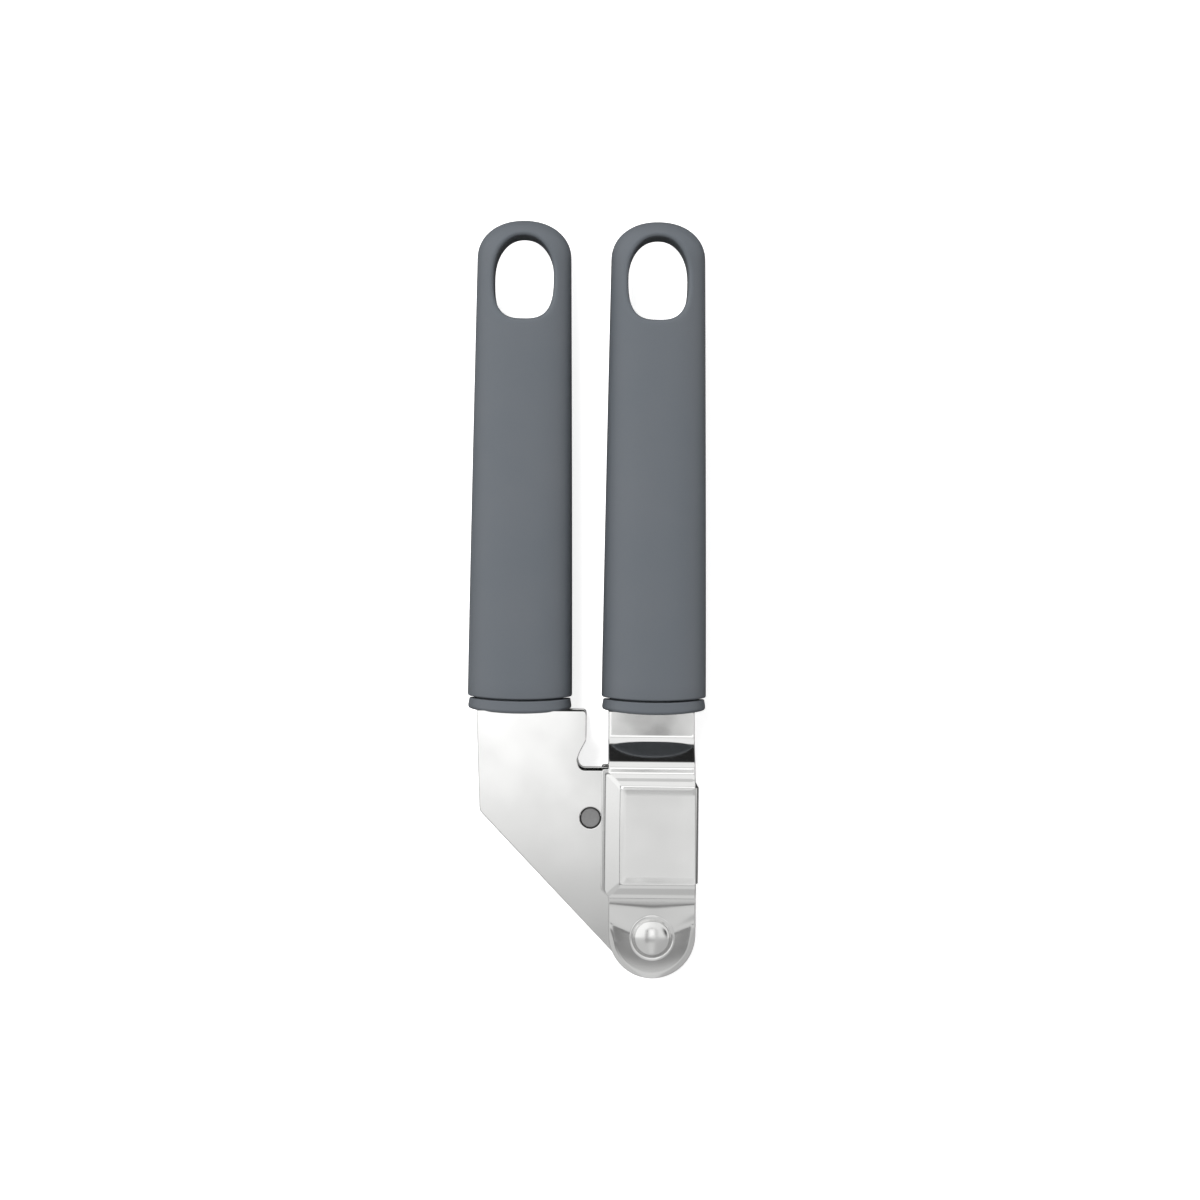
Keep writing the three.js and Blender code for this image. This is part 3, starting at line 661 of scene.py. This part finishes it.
def plunger_sheets():
    vs = spread(plate_low.y, 51, 2.0, 2.0) + spread(51.2, 57, 0.4, 0.4) + spread(59, plate_high.y, 3, 3)
    us = spread(plate_low.x, plate_high.x, 2.0, 2.0)
    holes = [circle(0, 0, RIVET_HOLE)[::-1], circle(HINGE.x, HINGE.y, PIN_HOLE)[::-1]]
    shape = plate(plate_outline(), holes, plate_height, lambda u, v: SHEET, (us, vs), edge=0.22)
    sheet_pair("plunger_arm_sheet", ("plunger_cheek_near", "plunger_cheek_far"), "plunger_arm", shape)


chamber_sheets()
plunger_sheets()

# ---- Moulded handles ----------------------------------------------------------------------------

GRIP_POWER = 2.5  # squareness of the cross-section, and of the tip's outline
TIP_POWER = 2.15
TIP_ROUND = 8.8  # length of the tip's rounding
HOLE_WIDTH = 13.8
HOLE_HEIGHT = 19.3
HOLE_RIM = 3.9
MOUTH = grip_low.y
TIP = grip_high.y
MOUTH_WIDTH = grip_high.x - grip_low.x
TIP_WIDTH = 21.6
MOUTH_THICKNESS = grip_high.z * 2
TIP_THICKNESS = 12.0
MOUTH_CROWN = 110.0  # radii of the bowed ends of the grip and of the collar
COLLAR_CROWN = 75.0
GRIP_WALL = 1.8
HOLE_MIDDLE = TIP - HOLE_RIM - HOLE_HEIGHT / 2
JOIN = HOLE_MIDDLE - HOLE_HEIGHT / 2 - 6.0  # where plain rings give way to the skin round the hole


def grip_halves(y):
    t = max(0.0, (y - MOUTH) / (TIP - MOUTH))
    width = MOUTH_WIDTH + (TIP_WIDTH - MOUTH_WIDTH) * t**1.2
    thickness = MOUTH_THICKNESS + (TIP_THICKNESS - MOUTH_THICKNESS) * t**1.3
    return width / 2, thickness / 2


def grip_height(x, y):
    """The grip's upper face over a point, which reaches the mid-plane at the outline."""
    width, thickness = grip_halves(y)
    end = max(0.0, (y - (TIP - TIP_ROUND)) / TIP_ROUND)
    reach = (abs(x / width) ** TIP_POWER + end**TIP_POWER) ** (1 / TIP_POWER) if end else abs(x / width)
    return thickness * max(0.0, 1 - min(1.0, reach) ** GRIP_POWER) ** (1 / GRIP_POWER)


def superellipse(a, b, power, angle):
    c, s = math.cos(angle), math.sin(angle)
    return Vector(
        (a * math.copysign(abs(c) ** (2 / power), c), b * math.copysign(abs(s) ** (2 / power), s))
    )


def crown(x, radius):
    return radius - math.sqrt(radius * radius - x * x)


def hole_edge(angle):
    """A point of the hanging hole's outline, in the direction of an angle from its middle."""
    power = 2.2 if math.sin(angle) > 0 else 2.9
    c, s = abs(math.cos(angle)), abs(math.sin(angle))
    reach = ((c / (HOLE_WIDTH / 2)) ** power + (s / (HOLE_HEIGHT / 2)) ** power) ** (-1 / power)
    return Vector((reach * math.cos(angle), HOLE_MIDDLE + reach * math.sin(angle)))


def grip_mesh():
    """Points about the grip's own axis, and faces: a hollow moulding with a rounded hole near its tip."""
    verts, faces = [], []

    def add(x, y, z):
        verts.append(Vector((x, y, z)))
        return len(verts) - 1

    across = 36
    top_angles = [math.pi * (1 - i / across) for i in range(across + 1)]

    def ring(y, inset, shift=0.0):
        """A full cross-section: over the top from left to right, then back underneath."""
        width, thickness = grip_halves(y)
        fade = max(0.0, 1 - (y - MOUTH) / 20)
        loop = []
        for sign in (1, -1):
            angles = top_angles if sign == 1 else top_angles[::-1][1:-1]
            for a in angles:
                p = superellipse(width - inset, thickness - inset, GRIP_POWER, a)
                loop.append(add(p.x, y + shift + crown(p.x, MOUTH_CROWN) * fade, sign * p.y))
        return loop

    join = ring(JOIN, 0.0)
    rings = [join]
    outer = 26
    for k in range(1, outer):
        rings.append(ring(JOIN + (MOUTH + 0.8 - JOIN) * k / outer, 0.0))
    lip = 0.45
    for k in range(5):
        a = math.pi / 2 * k / 4
        rings.append(ring(MOUTH, lip * (1 - math.cos(a)), lip * (1 - math.sin(a))))
    rings.append(ring(MOUTH, GRIP_WALL - 0.2))
    rings.append(ring(MOUTH, GRIP_WALL, 0.2))
    bore_end = HOLE_MIDDLE - HOLE_HEIGHT / 2 - 9
    for k in range(1, 9):
        rings.append(ring(MOUTH + (bore_end - MOUTH) * k / 8, GRIP_WALL))
    count = len(join)
    for lower, upper in zip(rings, rings[1:]):
        for i in range(count):
            j = (i + 1) % count
            faces.append((lower[i], lower[j], upper[j], upper[i]))
    last = rings[-1]
    for i in range(across):  # the bore's closed end, as strips between its top and bottom edges
        below = [last[0]] + last[: across : -1] + [last[across]]
        a, b, c, d = last[i], last[i + 1], below[i + 1], below[i]
        corners = [a, b, c, d] if i not in (0, across - 1) else ([a, b, c] if i == 0 else [a, b, d])
        faces.append(tuple(corners))

    # Round the hole, the skin runs outwards from the hole's edge to the outline or to the join.
    targets = [("join", i, None) for i in range(across + 1)]
    side = 14
    start = TIP - TIP_ROUND
    for k in range(1, side):
        y = JOIN + (start - JOIN) * k / side
        targets.append(("edge", 1, Vector((grip_halves(y)[0], y))))
    around = 44
    for k in range(around + 1):
        p = superellipse(1.0, 1.0, TIP_POWER, math.pi * k / around)
        y = start + TIP_ROUND * p.y
        targets.append(("edge", 0, Vector((grip_halves(y)[0] * p.x, y))))
    for k in range(side - 1, 0, -1):
        y = JOIN + (start - JOIN) * k / side
        targets.append(("edge", -1, Vector((-grip_halves(y)[0], y))))

    lip = 0.9
    steps = 16
    columns = []
    for kind, index, p in targets:
        if kind == "join":
            q = verts[join[index]]
            p = Vector((q.x, q.y))
        angle = math.atan2(p.y - HOLE_MIDDLE, p.x)
        edge = hole_edge(angle)
        h = 0.01
        along = hole_edge(angle + h) - hole_edge(angle - h)
        away = Vector((along.y, -along.x)).normalized()
        foot = edge + away * lip
        height = grip_height(foot.x, foot.y)
        top, bottom = [], []
        middle = add(edge.x, edge.y, 0)
        top.append(middle)
        bottom.append(middle)
        levels = [(0.0, (height - lip) * 0.5)]
        for k in range(5):
            a = math.pi / 2 * k / 4
            levels.append((lip * (1 - math.cos(a)), height - lip * (1 - math.sin(a))))
        for out, z in levels:
            q = edge + away * out
            top.append(add(q.x, q.y, z))
            bottom.append(add(q.x, q.y, -z))
        for k in range(1, steps):
            q = foot.lerp(p, math.sin(math.pi / 2 * k / steps))
            z = grip_height(q.x, q.y)
            top.append(add(q.x, q.y, z))
            bottom.append(add(q.x, q.y, -z))
        if kind == "join":
            top.append(join[index])
            mirrored = index if index in (0, across) else count - index
            bottom.append(join[mirrored])
        else:
            end = add(p.x, p.y, 0)
            top.append(end)
            bottom.append(end)
        columns.append((top, bottom))
    total = len(columns)
    for i in range(total):
        for which, flip in ((0, False), (1, True)):
            here = columns[i][which]
            after = columns[(i + 1) % total][which]
            for k in range(len(here) - 1):
                corners = [here[k], here[k + 1], after[k + 1], after[k]]
                corners = [c for n, c in enumerate(corners) if c not in corners[:n]]
                faces.append(tuple(reversed(corners)) if flip else tuple(corners))
    return verts, faces


def collar_mesh():
    """The collar that closes a grip's mouth: a crowned plate with a softly rounded lower edge."""
    width, thickness = grip_halves(MOUTH)
    foot = collar_low.y
    gap = 0.4  # the shadow line between grip and collar
    plug = 8.0
    plug_wall = 1.5
    sides = 120
    outline = [
        superellipse(width, thickness, GRIP_POWER, 2 * math.pi * k / sides) for k in range(sides)
    ]
    outline = resample(outline, 0.7)

    def face(u, v):
        return -crown(u, COLLAR_CROWN)

    def thick(u, v):
        return MOUTH - gap - foot + crown(u, MOUTH_CROWN) - crown(u, COLLAR_CROWN)

    us = spread(-width, width, 1.2, 1.2)
    vs = spread(-thickness, thickness, 1.2, 1.2)
    points, normals, faces = plate(outline, [], face, thick, (us, vs), edge=0.8, back_edge=0.2)
    verts = [Vector((p.x, foot - p.z, p.y)) for p in points]
    turned_normals = [Vector((n.x, -n.z, n.y)) for n in normals]
    # The plug behind the plate, a ring that reaches into the bore.
    inset = GRIP_WALL + 0.3
    bore = inset + plug_wall
    start, end = MOUTH - 1, MOUTH + plug
    loops = []
    for shrink, y in ((inset, start), (inset, end), (bore, end), (bore, start)):
        loop = []
        for k in range(64):
            p = superellipse(width - shrink, thickness - shrink, GRIP_POWER, 2 * math.pi * k / 64)
            verts.append(Vector((p.x, y, p.y)))
            sign = 1 if shrink == inset else -1
            turned_normals.append(Vector((p.x, 0, p.y)).normalized() * sign)
            loop.append(len(verts) - 1)
        loops.append(loop)
    for lower, upper in zip(loops, loops[1:] + loops[:1]):
        for k in range(64):
            j = (k + 1) % 64
            faces.append((lower[k], upper[k], upper[j], lower[j]))
    return verts, turned_normals, faces


def handles():
    grip_verts, grip_faces = grip_mesh()
    collar_verts, collar_normals, collar_faces = collar_mesh()
    for side, axis, body in (("right", 0.0, "chamber_arm"), ("left", LEFT_AXIS, "plunger_arm")):
        for part, points, faces, normals in (
            ("grip", grip_verts, grip_faces, None),
            ("collar", collar_verts, collar_faces, collar_normals),
        ):
            verts = [place(v.x + axis, v.y, v.z) for v in points]
            name = f"{side}_{part}_moulding"
            add_piece(name, body, [f"{side}_{part}"], verts, faces, PLASTIC, normals)


handles()

# ---- Strainer and plunger -----------------------------------------------------------------------


def boolean_cut(target, cutters):
    for cutter in cutters:
        cut = target.modifiers.new("cut", "BOOLEAN")
        cut.operation = "DIFFERENCE"
        cut.solver = "EXACT"
        cut.object = cutter
    bpy.context.view_layer.update()
    done = bpy.data.meshes.new_from_object(target.evaluated_get(bpy.context.evaluated_depsgraph_get()))
    target.modifiers.clear()
    return done


def helper_object(bm):
    """Turns a mesh in millimetres into an object that only serves a cut."""
    for v in bm.verts:
        v.co = place(*v.co)
    mesh = bpy.data.meshes.new("helper")
    bm.to_mesh(mesh)
    bm.free()
    made = bpy.data.objects.new("helper", mesh)
    bpy.context.scene.collection.objects.link(made)
    return made


def box_object(low, high, rounded=None):
    """A block between two corners, in millimetres; rounded is (radius, a test that picks its edges)."""
    bm = bmesh.new()
    bmesh.ops.create_cube(bm, size=1)
    middle = (low + high) / 2
    size = high - low
    for v in bm.verts:
        v.co = Vector(v.co[i] * size[i] + middle[i] for i in range(3))
    if rounded:
        radius, chosen = rounded
        edges = [e for e in bm.edges if chosen((e.verts[0].co + e.verts[1].co) / 2)]
        bmesh.ops.bevel(
            bm, geom=edges, offset=radius, segments=8, profile=0.5, affect="EDGES", clamp_overlap=True
        )
    return helper_object(bm)


def strainer_drills(wall):
    rows, columns, pitch, radius = 8, 6, 2.3, 0.85
    bm = bmesh.new()
    middle = (strainer_low.y + strainer_high.y) / 2
    for row in range(rows):
        for column in range(columns):
            y = middle + (row - (rows - 1) / 2) * pitch
            z = (column - (columns - 1) / 2) * pitch
            turn = Matrix.Rotation(math.pi / 2, 4, "Y")
            made = bmesh.ops.create_cone(
                bm, cap_ends=True, segments=28, radius1=radius, radius2=radius, depth=wall * 3, matrix=turn
            )
            for v in made["verts"]:
                v.co = v.co + Vector((strainer_high.x - wall / 2, y, z))
    return helper_object(bm)


def strainer_basket():
    """A tray pressed from sheet, open towards the plunger, with rows of round holes in its floor."""
    wall = 1.2
    floor = strainer_high.x - wall
    middle_y = (strainer_low.y + strainer_high.y) / 2

    def long_edge(m):
        return m.x > strainer_high.x - 0.1 and abs(m.z) > 1

    def floor_edge(m):
        return m.x > floor - 0.1 and (abs(m.z) > 1 or abs(m.y - middle_y) > 1)

    shell = box_object(strainer_low, strainer_high, (1.6, long_edge))
    hollow_low = Vector((strainer_low.x - 5, strainer_low.y + wall, strainer_low.z + wall))
    hollow_high = Vector((floor, strainer_high.y - wall, strainer_high.z - wall))
    hollow = box_object(hollow_low, hollow_high, (0.6, floor_edge))
    drills = strainer_drills(wall)
    cut = boolean_cut(shell, [hollow, drills])
    for helper in (shell, hollow, drills):
        bpy.data.objects.remove(helper)
    bm = bmesh.new()
    bm.from_mesh(cut)
    bmesh.ops.remove_doubles(bm, verts=bm.verts, dist=1e-7)
    cut_verts = [v.co.copy() for v in bm.verts]
    bm.verts.index_update()
    cut_faces = [tuple(v.index for v in f.verts) for f in bm.faces]
    bm.free()
    made = add_steel("strainer_basket", "chamber_arm", "strainer", cut_verts, cut_faces)
    bevel = made.modifiers.new("edge", "BEVEL")
    bevel.width = 0.12 * MM
    bevel.segments = 2
    bevel.limit_method = "ANGLE"
    bevel.angle_limit = math.radians(40)
    bevel.harden_normals = True
    made.data.set_sharp_from_angle(angle=math.radians(40))


def plunger_head():
    """The plate that pushes the clove: thick, with a long rounding at its back edges."""
    half_y = (plunger_high.y - plunger_low.y) / 2
    middle_y = (plunger_high.y + plunger_low.y) / 2
    half_z = plunger_high.z
    waffle = 2.3  # pitch
    corners = [(-half_y, -half_z), (half_y, -half_z), (half_y, half_z), (-half_y, half_z)]
    outline = rounded_outline([(u, v, 1.7) for u, v in corners])
    thickness = plunger_high.x - plunger_low.x

    def face(u, v):
        # A shallow waffle, pressed so that the clove doesn't slide.
        wave = math.cos(2 * math.pi * u / waffle) * math.cos(2 * math.pi * v / waffle)
        edge = min(half_y - abs(u), half_z - abs(v))
        return -0.06 * (1 - wave) * max(0.0, min(1.0, (edge - 0.8) / 0.6))

    us = spread(-half_y, half_y, 0.45, 0.45)
    vs = spread(-half_z, half_z, 0.45, 0.45)
    shape = plate(outline, [], face, lambda u, v: thickness, (us, vs), edge=0.35, back_edge=1.3)
    points, normals, faces = shape
    verts = [place(plunger_high.x + p.z, middle_y + p.x, p.y) for p in points]
    turned_normals = [Vector((n.z, n.x, n.y)) for n in normals]
    add_steel("plunger_head", "plunger", "plunger_plate", verts, faces, turned_normals)


def plunger_yoke():
    """A strip folded into a channel: two ears with eyes for the pin, and a web behind the plate."""
    half = bracket_high.z - SHEET / 2  # to the middle of the strip
    back = bracket_high.x - SHEET / 2
    bend = 1.4
    flat = back - bend - HINGE.x  # from the eye's middle to the bend
    arc = math.pi / 2 * bend
    reach = flat + arc + half - bend  # from an eye's middle to the web's middle
    eye = 4.4
    bore = 2.55
    web_inset = 2.8
    web_low = plunger_low.y + web_inset - HINGE.y
    web_high = plunger_high.y - web_inset - HINGE.y
    root = flat - 4

    def folded(s, y, out):
        """Bends the flat strip; s runs from the near eye to the far one and out is away from the channel."""
        side = -1 if s > 0 else 1
        run = reach - abs(s)
        if run < flat:
            return Vector((HINGE.x + run, HINGE.y + y, side * (half + out)))
        if run < flat + arc:
            a = (run - flat) / bend
            centre = Vector((HINGE.x + flat, half - bend))
            p = centre + Vector((math.sin(a), math.cos(a))) * (bend + out)
            return Vector((p.x, HINGE.y + y, side * p.y))
        return Vector((back + out, HINGE.y + y, side * (half - bend - (run - flat - arc))))

    corners = []
    for side in (-1, 1):
        middle = side * reach
        arc_points = []
        for k in range(17):
            a = math.pi / 2 + math.pi * k / 16 if side == -1 else -math.pi / 2 + math.pi * k / 16
            arc_points.append((middle + eye * math.cos(a), eye * math.sin(a), 0))
        if side == -1:
            corners += arc_points + [(-reach + root, web_low, 2), (reach - root, web_low, 2)]
        else:
            corners += arc_points + [(reach - root, web_high, 2), (-reach + root, web_high, 2)]
    outline = rounded_outline(corners, 0.5)
    holes = [circle(-reach, 0, bore)[::-1], circle(reach, 0, bore)[::-1]]
    bends = [(-(reach - flat - arc / 2), 2), (reach - flat - arc / 2, 2)]
    us = spread(-reach - eye, reach + eye, 1.5, 0.25, bends)
    vs = spread(-eye - 6, eye + 2, 1.5, 1.5)
    points, _, faces = plate(
        outline, holes, lambda u, v: SHEET / 2, lambda u, v: SHEET, (us, vs), edge=0.2
    )
    verts = [place(*folded(p.x, p.y, p.z)) for p in points]
    add_steel("plunger_yoke", "plunger", "plunger_bracket", verts, faces)


strainer_basket()
plunger_head()
plunger_yoke()

# ---- Rivet, bush, pin and sleeve ----------------------------------------------------------------


def pivot_rivet():
    """A shank with a domed head set at each end; a small flat land runs round each dome."""
    shank, head = 2.5, rivet_high.x
    under = PIVOT_OUTER + 0.02
    top = rivet_high.z
    land = 0.35
    rise = top - under - land
    dome = []
    for k in range(0, 15):
        a = math.pi / 2 * k / 14
        dome.append(((head - land) * math.cos(a), under + land + rise * math.sin(a) ** 0.9))
    half = [(shank, under), (head - 0.1, under), (head, under + 0.1), (head - 0.05, under + 0.25)] + dome
    half[-1] = (0.0, top)
    profile = [(r, -z) for r, z in half][::-1] + half
    verts, faces = turned(profile, 0, 0)
    add_steel("pivot_rivet_polished", "chamber_arm", "pivot_rivet", verts, faces, None, HEADED)


def add_turned(name, body, node_name, verts, faces):
    made = add_piece(name, body, [node_name], verts, faces, TURNED, None)
    made.data.set_sharp_from_angle(angle=math.radians(30))


def tube(name, body, node_name, x, y, bore, outer, half):
    """A plain tube along z with chamfered ends; half is half its length."""
    chamfer = 0.2
    profile = [
        (bore, -half + chamfer),
        (bore + chamfer, -half),
        (outer - chamfer, -half),
        (outer, -half + chamfer),
        (outer, half - chamfer),
        (outer - chamfer, half),
        (bore + chamfer, half),
        (bore, half - chamfer),
    ]
    add_turned(name, body, node_name, *turned(profile, x, y, ring=True))


def hinge_pin():
    """A plain pin whose ends sit just under the sheets, each with a shallow turned dish."""
    radius = pin_high.x - HINGE.x
    end = pin_high.z
    half = [(radius, end - 0.25), (radius - 0.25, end), (radius * 0.6, end - 0.02), (0.0, end - 0.08)]
    profile = [(r, -z) for r, z in half][::-1] + half
    add_turned("hinge_pin_turned", "plunger_arm", "hinge_pin", *turned(profile, HINGE.x, HINGE.y))


BUSH_BORE = 2.6
SLEEVE_BORE = 2.5
sleeve_radius = sleeve_high.x - HINGE.x

pivot_rivet()
tube("pivot_bush_tube", "plunger_arm", "pivot_bush", 0, 0, BUSH_BORE, bush_high.x, bush_high.z)
at = (HINGE.x, HINGE.y)
tube("plunger_sleeve_tube", "plunger", "plunger_sleeve", *at, SLEEVE_BORE, sleeve_radius, sleeve_high.z)
hinge_pin()

# ---- Studio -------------------------------------------------------------------------------------


def studio_floor():
    """A white table top. Its pale upper skin is what is seen; the grey one under it only bounces light."""
    size = 8.0
    for name, depth in (("studio_floor", 0.0002), ("studio_bounce", 0.0004)):
        mesh = bpy.data.meshes.new(name)
        z = cad_box[0][2] - depth
        corners = [(-size, -size, z), (size, -size, z), (size, size, z), (-size, size, z)]
        mesh.from_pydata(corners, [], [(0, 1, 2, 3)])
        floor = bpy.data.objects.new(name, mesh)
        bpy.context.scene.collection.objects.link(floor)
        seen = name == "studio_floor"
        glow = 0.82 if seen else 0.0
        material, tree, shader, coords = finish_material(
            f"{name}_acrylic_white",
            Roughness=0.7,
            **{"Emission Color": linear("#ffffff"), "Emission Strength": glow},
        )
        shades = ("#efefee", "#ececec") if seen else ("#6f6f6e", "#6b6b6b")
        cloud = node(tree, "ShaderNodeTexNoise", {"Vector": (coords, "Object"), "Scale": 3.0})
        tint = node(
            tree,
            "ShaderNodeMix",
            {"Factor": (cloud, "Fac"), "A": linear(shades[0]), "B": linear(shades[1])},
            data_type="RGBA",
        )
        tree.links.new(tint.outputs["Result"], shader.inputs["Base Color"])
        mesh.materials.append(material)
        floor.visible_camera = seen
        floor.visible_diffuse = floor.visible_glossy = floor.visible_transmission = not seen
        floor.visible_shadow = False


# Brightness of the overhead soft box, from the pivot's end to the handles' end.
BOX_STOPS = (
    (-0.4, 0.8),
    (-0.23, 0.76),
    (-0.2, 0.22),
    (-0.188, 0.2),
    (-0.17, 0.36),
    (-0.145, 0.58),
    (-0.137, 0.66),
    (-0.132, 0.5),
    (-0.126, 0.38),
    (-0.12, 0.62),
    (-0.1, 0.9),
    (-0.08, 1.12),
    (-0.06, 1.38),
    (-0.04, 1.46),
    (0.22, 1.46),
    (0.28, 0.6),
    (0.4, 1.1),
)
BOX_REACH = 0.5  # the colour ramp runs from minus this to plus this


def studio_sky():
    """A soft box overhead that fades towards the pivot's end, in a dimmer frame between pale walls.

    Places are directions: x across the arms, y along them and z up, each from -1 to 1.
    """
    world = bpy.data.worlds.new("studio")
    bpy.context.scene.world = world
    world.use_nodes = True
    tree = world.node_tree
    tree.nodes.clear()
    coords = node(tree, "ShaderNodeTexCoord")
    split = node(tree, "ShaderNodeSeparateXYZ", {"Vector": (coords, "Generated")})
    ray = node(tree, "ShaderNodeLightPath")
    # Every brightness by its name: first the direction, then what is worked out from it.
    value = {axis.lower(): (split, axis) for axis in "XYZ"}
    value["across"] = (node(tree, "ShaderNodeMath", {0: value["x"]}, operation="ABSOLUTE"), "Value")
    value["matt ray"] = (ray, "Is Diffuse Ray")
    value["seen directly"] = (ray, "Is Camera Ray")

    along = {"Value": value["y"], "From Min": -BOX_REACH, "From Max": BOX_REACH}
    along = node(tree, "ShaderNodeMapRange", along)
    box = node(tree, "ShaderNodeValToRGB", {"Fac": (along, "Result")})
    stops = box.color_ramp.elements
    for index in (0, -1):
        stops[index].position = BOX_STOPS[index][0] / (2 * BOX_REACH) + 0.5
        stops[index].color = (*[BOX_STOPS[index][1]] * 3, 1)
    for at, brightness in BOX_STOPS[1:-1]:
        stops.new(at / (2 * BOX_REACH) + 0.5).color = (*[brightness] * 3, 1)
    value["box"] = (box, "Color")

    # Soft steps: what they read, where they start and end, and their two levels.
    for name, source, low, high, start, end in (
        ("overhead", "z", 0.3, 0.6, 0, 1),
        ("box side", "across", 0.13, 0.1, 0, 1),
        ("frame side", "across", 0.26, 0.2, 0, 1),
        ("frame foot", "y", -0.3, -0.24, 0, 1),
        ("frame head", "y", 0.3, 0.24, 0, 1),
        ("frame level", "x", -0.1, 0.05, 0.28, 0.62),
        ("walls along", "y", -0.15, -0.04, 0.68, 1.25),
        ("walls across", "x", -0.3, 0.3, 1.0, 0.8),
        ("past handles", "y", 0.5, 0.8, 0, 1),
        ("near ground", "z", 0.13, 0.07, 0, 1),
        ("above ground", "z", -0.1, 0.1, 0, 1),
        ("low side", "across", 0.78, 0.95, 0, 1),
        ("low end", "y", 0.75, 0.92, 0, 1),
        ("low level", "x", -0.5, 0.5, 1.7, 2.8),
    ):
        ends = {"From Min": low, "From Max": high, "To Min": start, "To Max": end}
        made = node(
            tree,
            "ShaderNodeMapRange",
            {"Value": value[source], **ends},
            interpolation_type="SMOOTHSTEP",
        )
        value[name] = (made, "Result")

    # Dark patches: where, how large and how dark. The first greys the neck, the second is a black card
    # that the neck's slope faces, and the third is a card to one side that the rivet shows.
    facing = 2 * math.atan(NECK_SLOPE) - 0.05
    for name, centre, size, strength in (
        ("neck patch", (0.0205, -0.05, 1.0), (0.027, 0.026, 1.0), 0.86),
        ("slope card", (0.0, math.sin(facing), math.cos(facing)), (0.6, 0.2, 0.2), 0.98),
        ("side card", (0.74, 0.2, 0.64), (0.32, 0.28, 0.28), 0.98),
    ):
        inputs = {0: (coords, "Generated"), 1: centre}
        made = node(tree, "ShaderNodeVectorMath", inputs, operation="SUBTRACT")
        inputs = {0: (made, "Vector"), 1: tuple(1 / s for s in size)}
        made = node(tree, "ShaderNodeVectorMath", inputs, operation="MULTIPLY")
        made = node(tree, "ShaderNodeVectorMath", {0: (made, "Vector")}, operation="LENGTH")
        inputs = {"Value": (made, "Value"), "From Min": 0.3, "From Max": 1.3, "To Min": 1 - strength}
        made = node(tree, "ShaderNodeMapRange", inputs, interpolation_type="SMOOTHSTEP")
        value[name] = (made, "Result")

    # The parts of the sky, in order. Several names are multiplied together; "mix" is a factor and the
    # two values it goes between. Low down beyond the handles it is dark, and so is the ground. Matt
    # surfaces are lit mostly by the lamp, and by low light from the sides and beyond the handles.
    # Seen directly, past the table's edge, the studio is plain white.
    for name, how, *terms in (
        ("column", "MULTIPLY", "box side", "overhead"),
        ("frame", "MULTIPLY", "frame side", "frame foot", "frame head", "overhead"),
        ("walls", "MULTIPLY", "walls along", "walls across"),
        ("far ground", "MULTIPLY", "past handles", "near ground"),
        ("walls", "mix", "far ground", "walls", 0.04),
        ("walls", "mix", "above ground", 0.3, "walls"),
        ("around", "mix", "frame", "walls", "frame level"),
        ("light", "mix", "column", "around", "box"),
        ("light", "MULTIPLY", "light", "neck patch", "slope card", "side card"),
        ("low down", "MAXIMUM", "low side", "low end"),
        ("matt", "mix", "low down", 0.14, "low level"),
        ("share", "mix", "matt ray", 1.0, "matt"),
        ("light", "MULTIPLY", "light", "share"),
        ("light", "mix", "seen directly", "light", 1.0),
    ):
        terms = [value.get(term, term) for term in terms]
        if how == "mix":
            made = node(tree, "ShaderNodeMix", dict(zip(("Factor", "A", "B"), terms)), data_type="FLOAT")
            value[name] = (made, "Result")
            continue
        result = terms[0]
        for term in terms[1:]:
            result = (node(tree, "ShaderNodeMath", {0: result, 1: term}, operation=how), "Value")
        value[name] = result

    inputs = {"Color": linear("#ffffff"), "Strength": value["light"]}
    background = node(tree, "ShaderNodeBackground", inputs)
    node(tree, "ShaderNodeOutputWorld", {"Surface": (background, "Background")})


def soft_light(name, place_at, size, power):
    """A round lamp aimed at the origin. Neither reflections nor the camera show it."""
    light = bpy.data.lights.new(name, "AREA")
    light.shape = "DISK"
    light.size = size
    light.energy = power
    made = bpy.data.objects.new(name, light)
    made.location = place_at
    made.rotation_euler = (-Vector(place_at)).to_track_quat("-Z", "Y").to_euler()
    made.visible_glossy = False
    made.visible_camera = False
    bpy.context.scene.collection.objects.link(made)


def overhead_camera():
    """Looks straight down, a little to the chamber arm's side of the middle."""
    data = bpy.data.cameras.new("overhead")
    data.sensor_width = 36
    data.lens = 77.4
    camera = bpy.data.objects.new("overhead", data)
    low, high = cad_box
    middle = (Vector(low) + Vector(high)) / 2
    offset = Vector((2.83, -0.57, 600))
    camera.location = middle + offset * MM
    camera.rotation_euler = (0, 0, math.radians(0.6))
    data.clip_start = 0.01
    data.clip_end = 20
    bpy.context.scene.collection.objects.link(camera)
    bpy.context.scene.camera = camera


studio_floor()
studio_sky()
soft_light("lamp", place_at=(-0.36, 0.35, 1.15), size=0.5, power=13.4)
overhead_camera()
bpy.context.scene.view_settings.view_transform = "Standard"
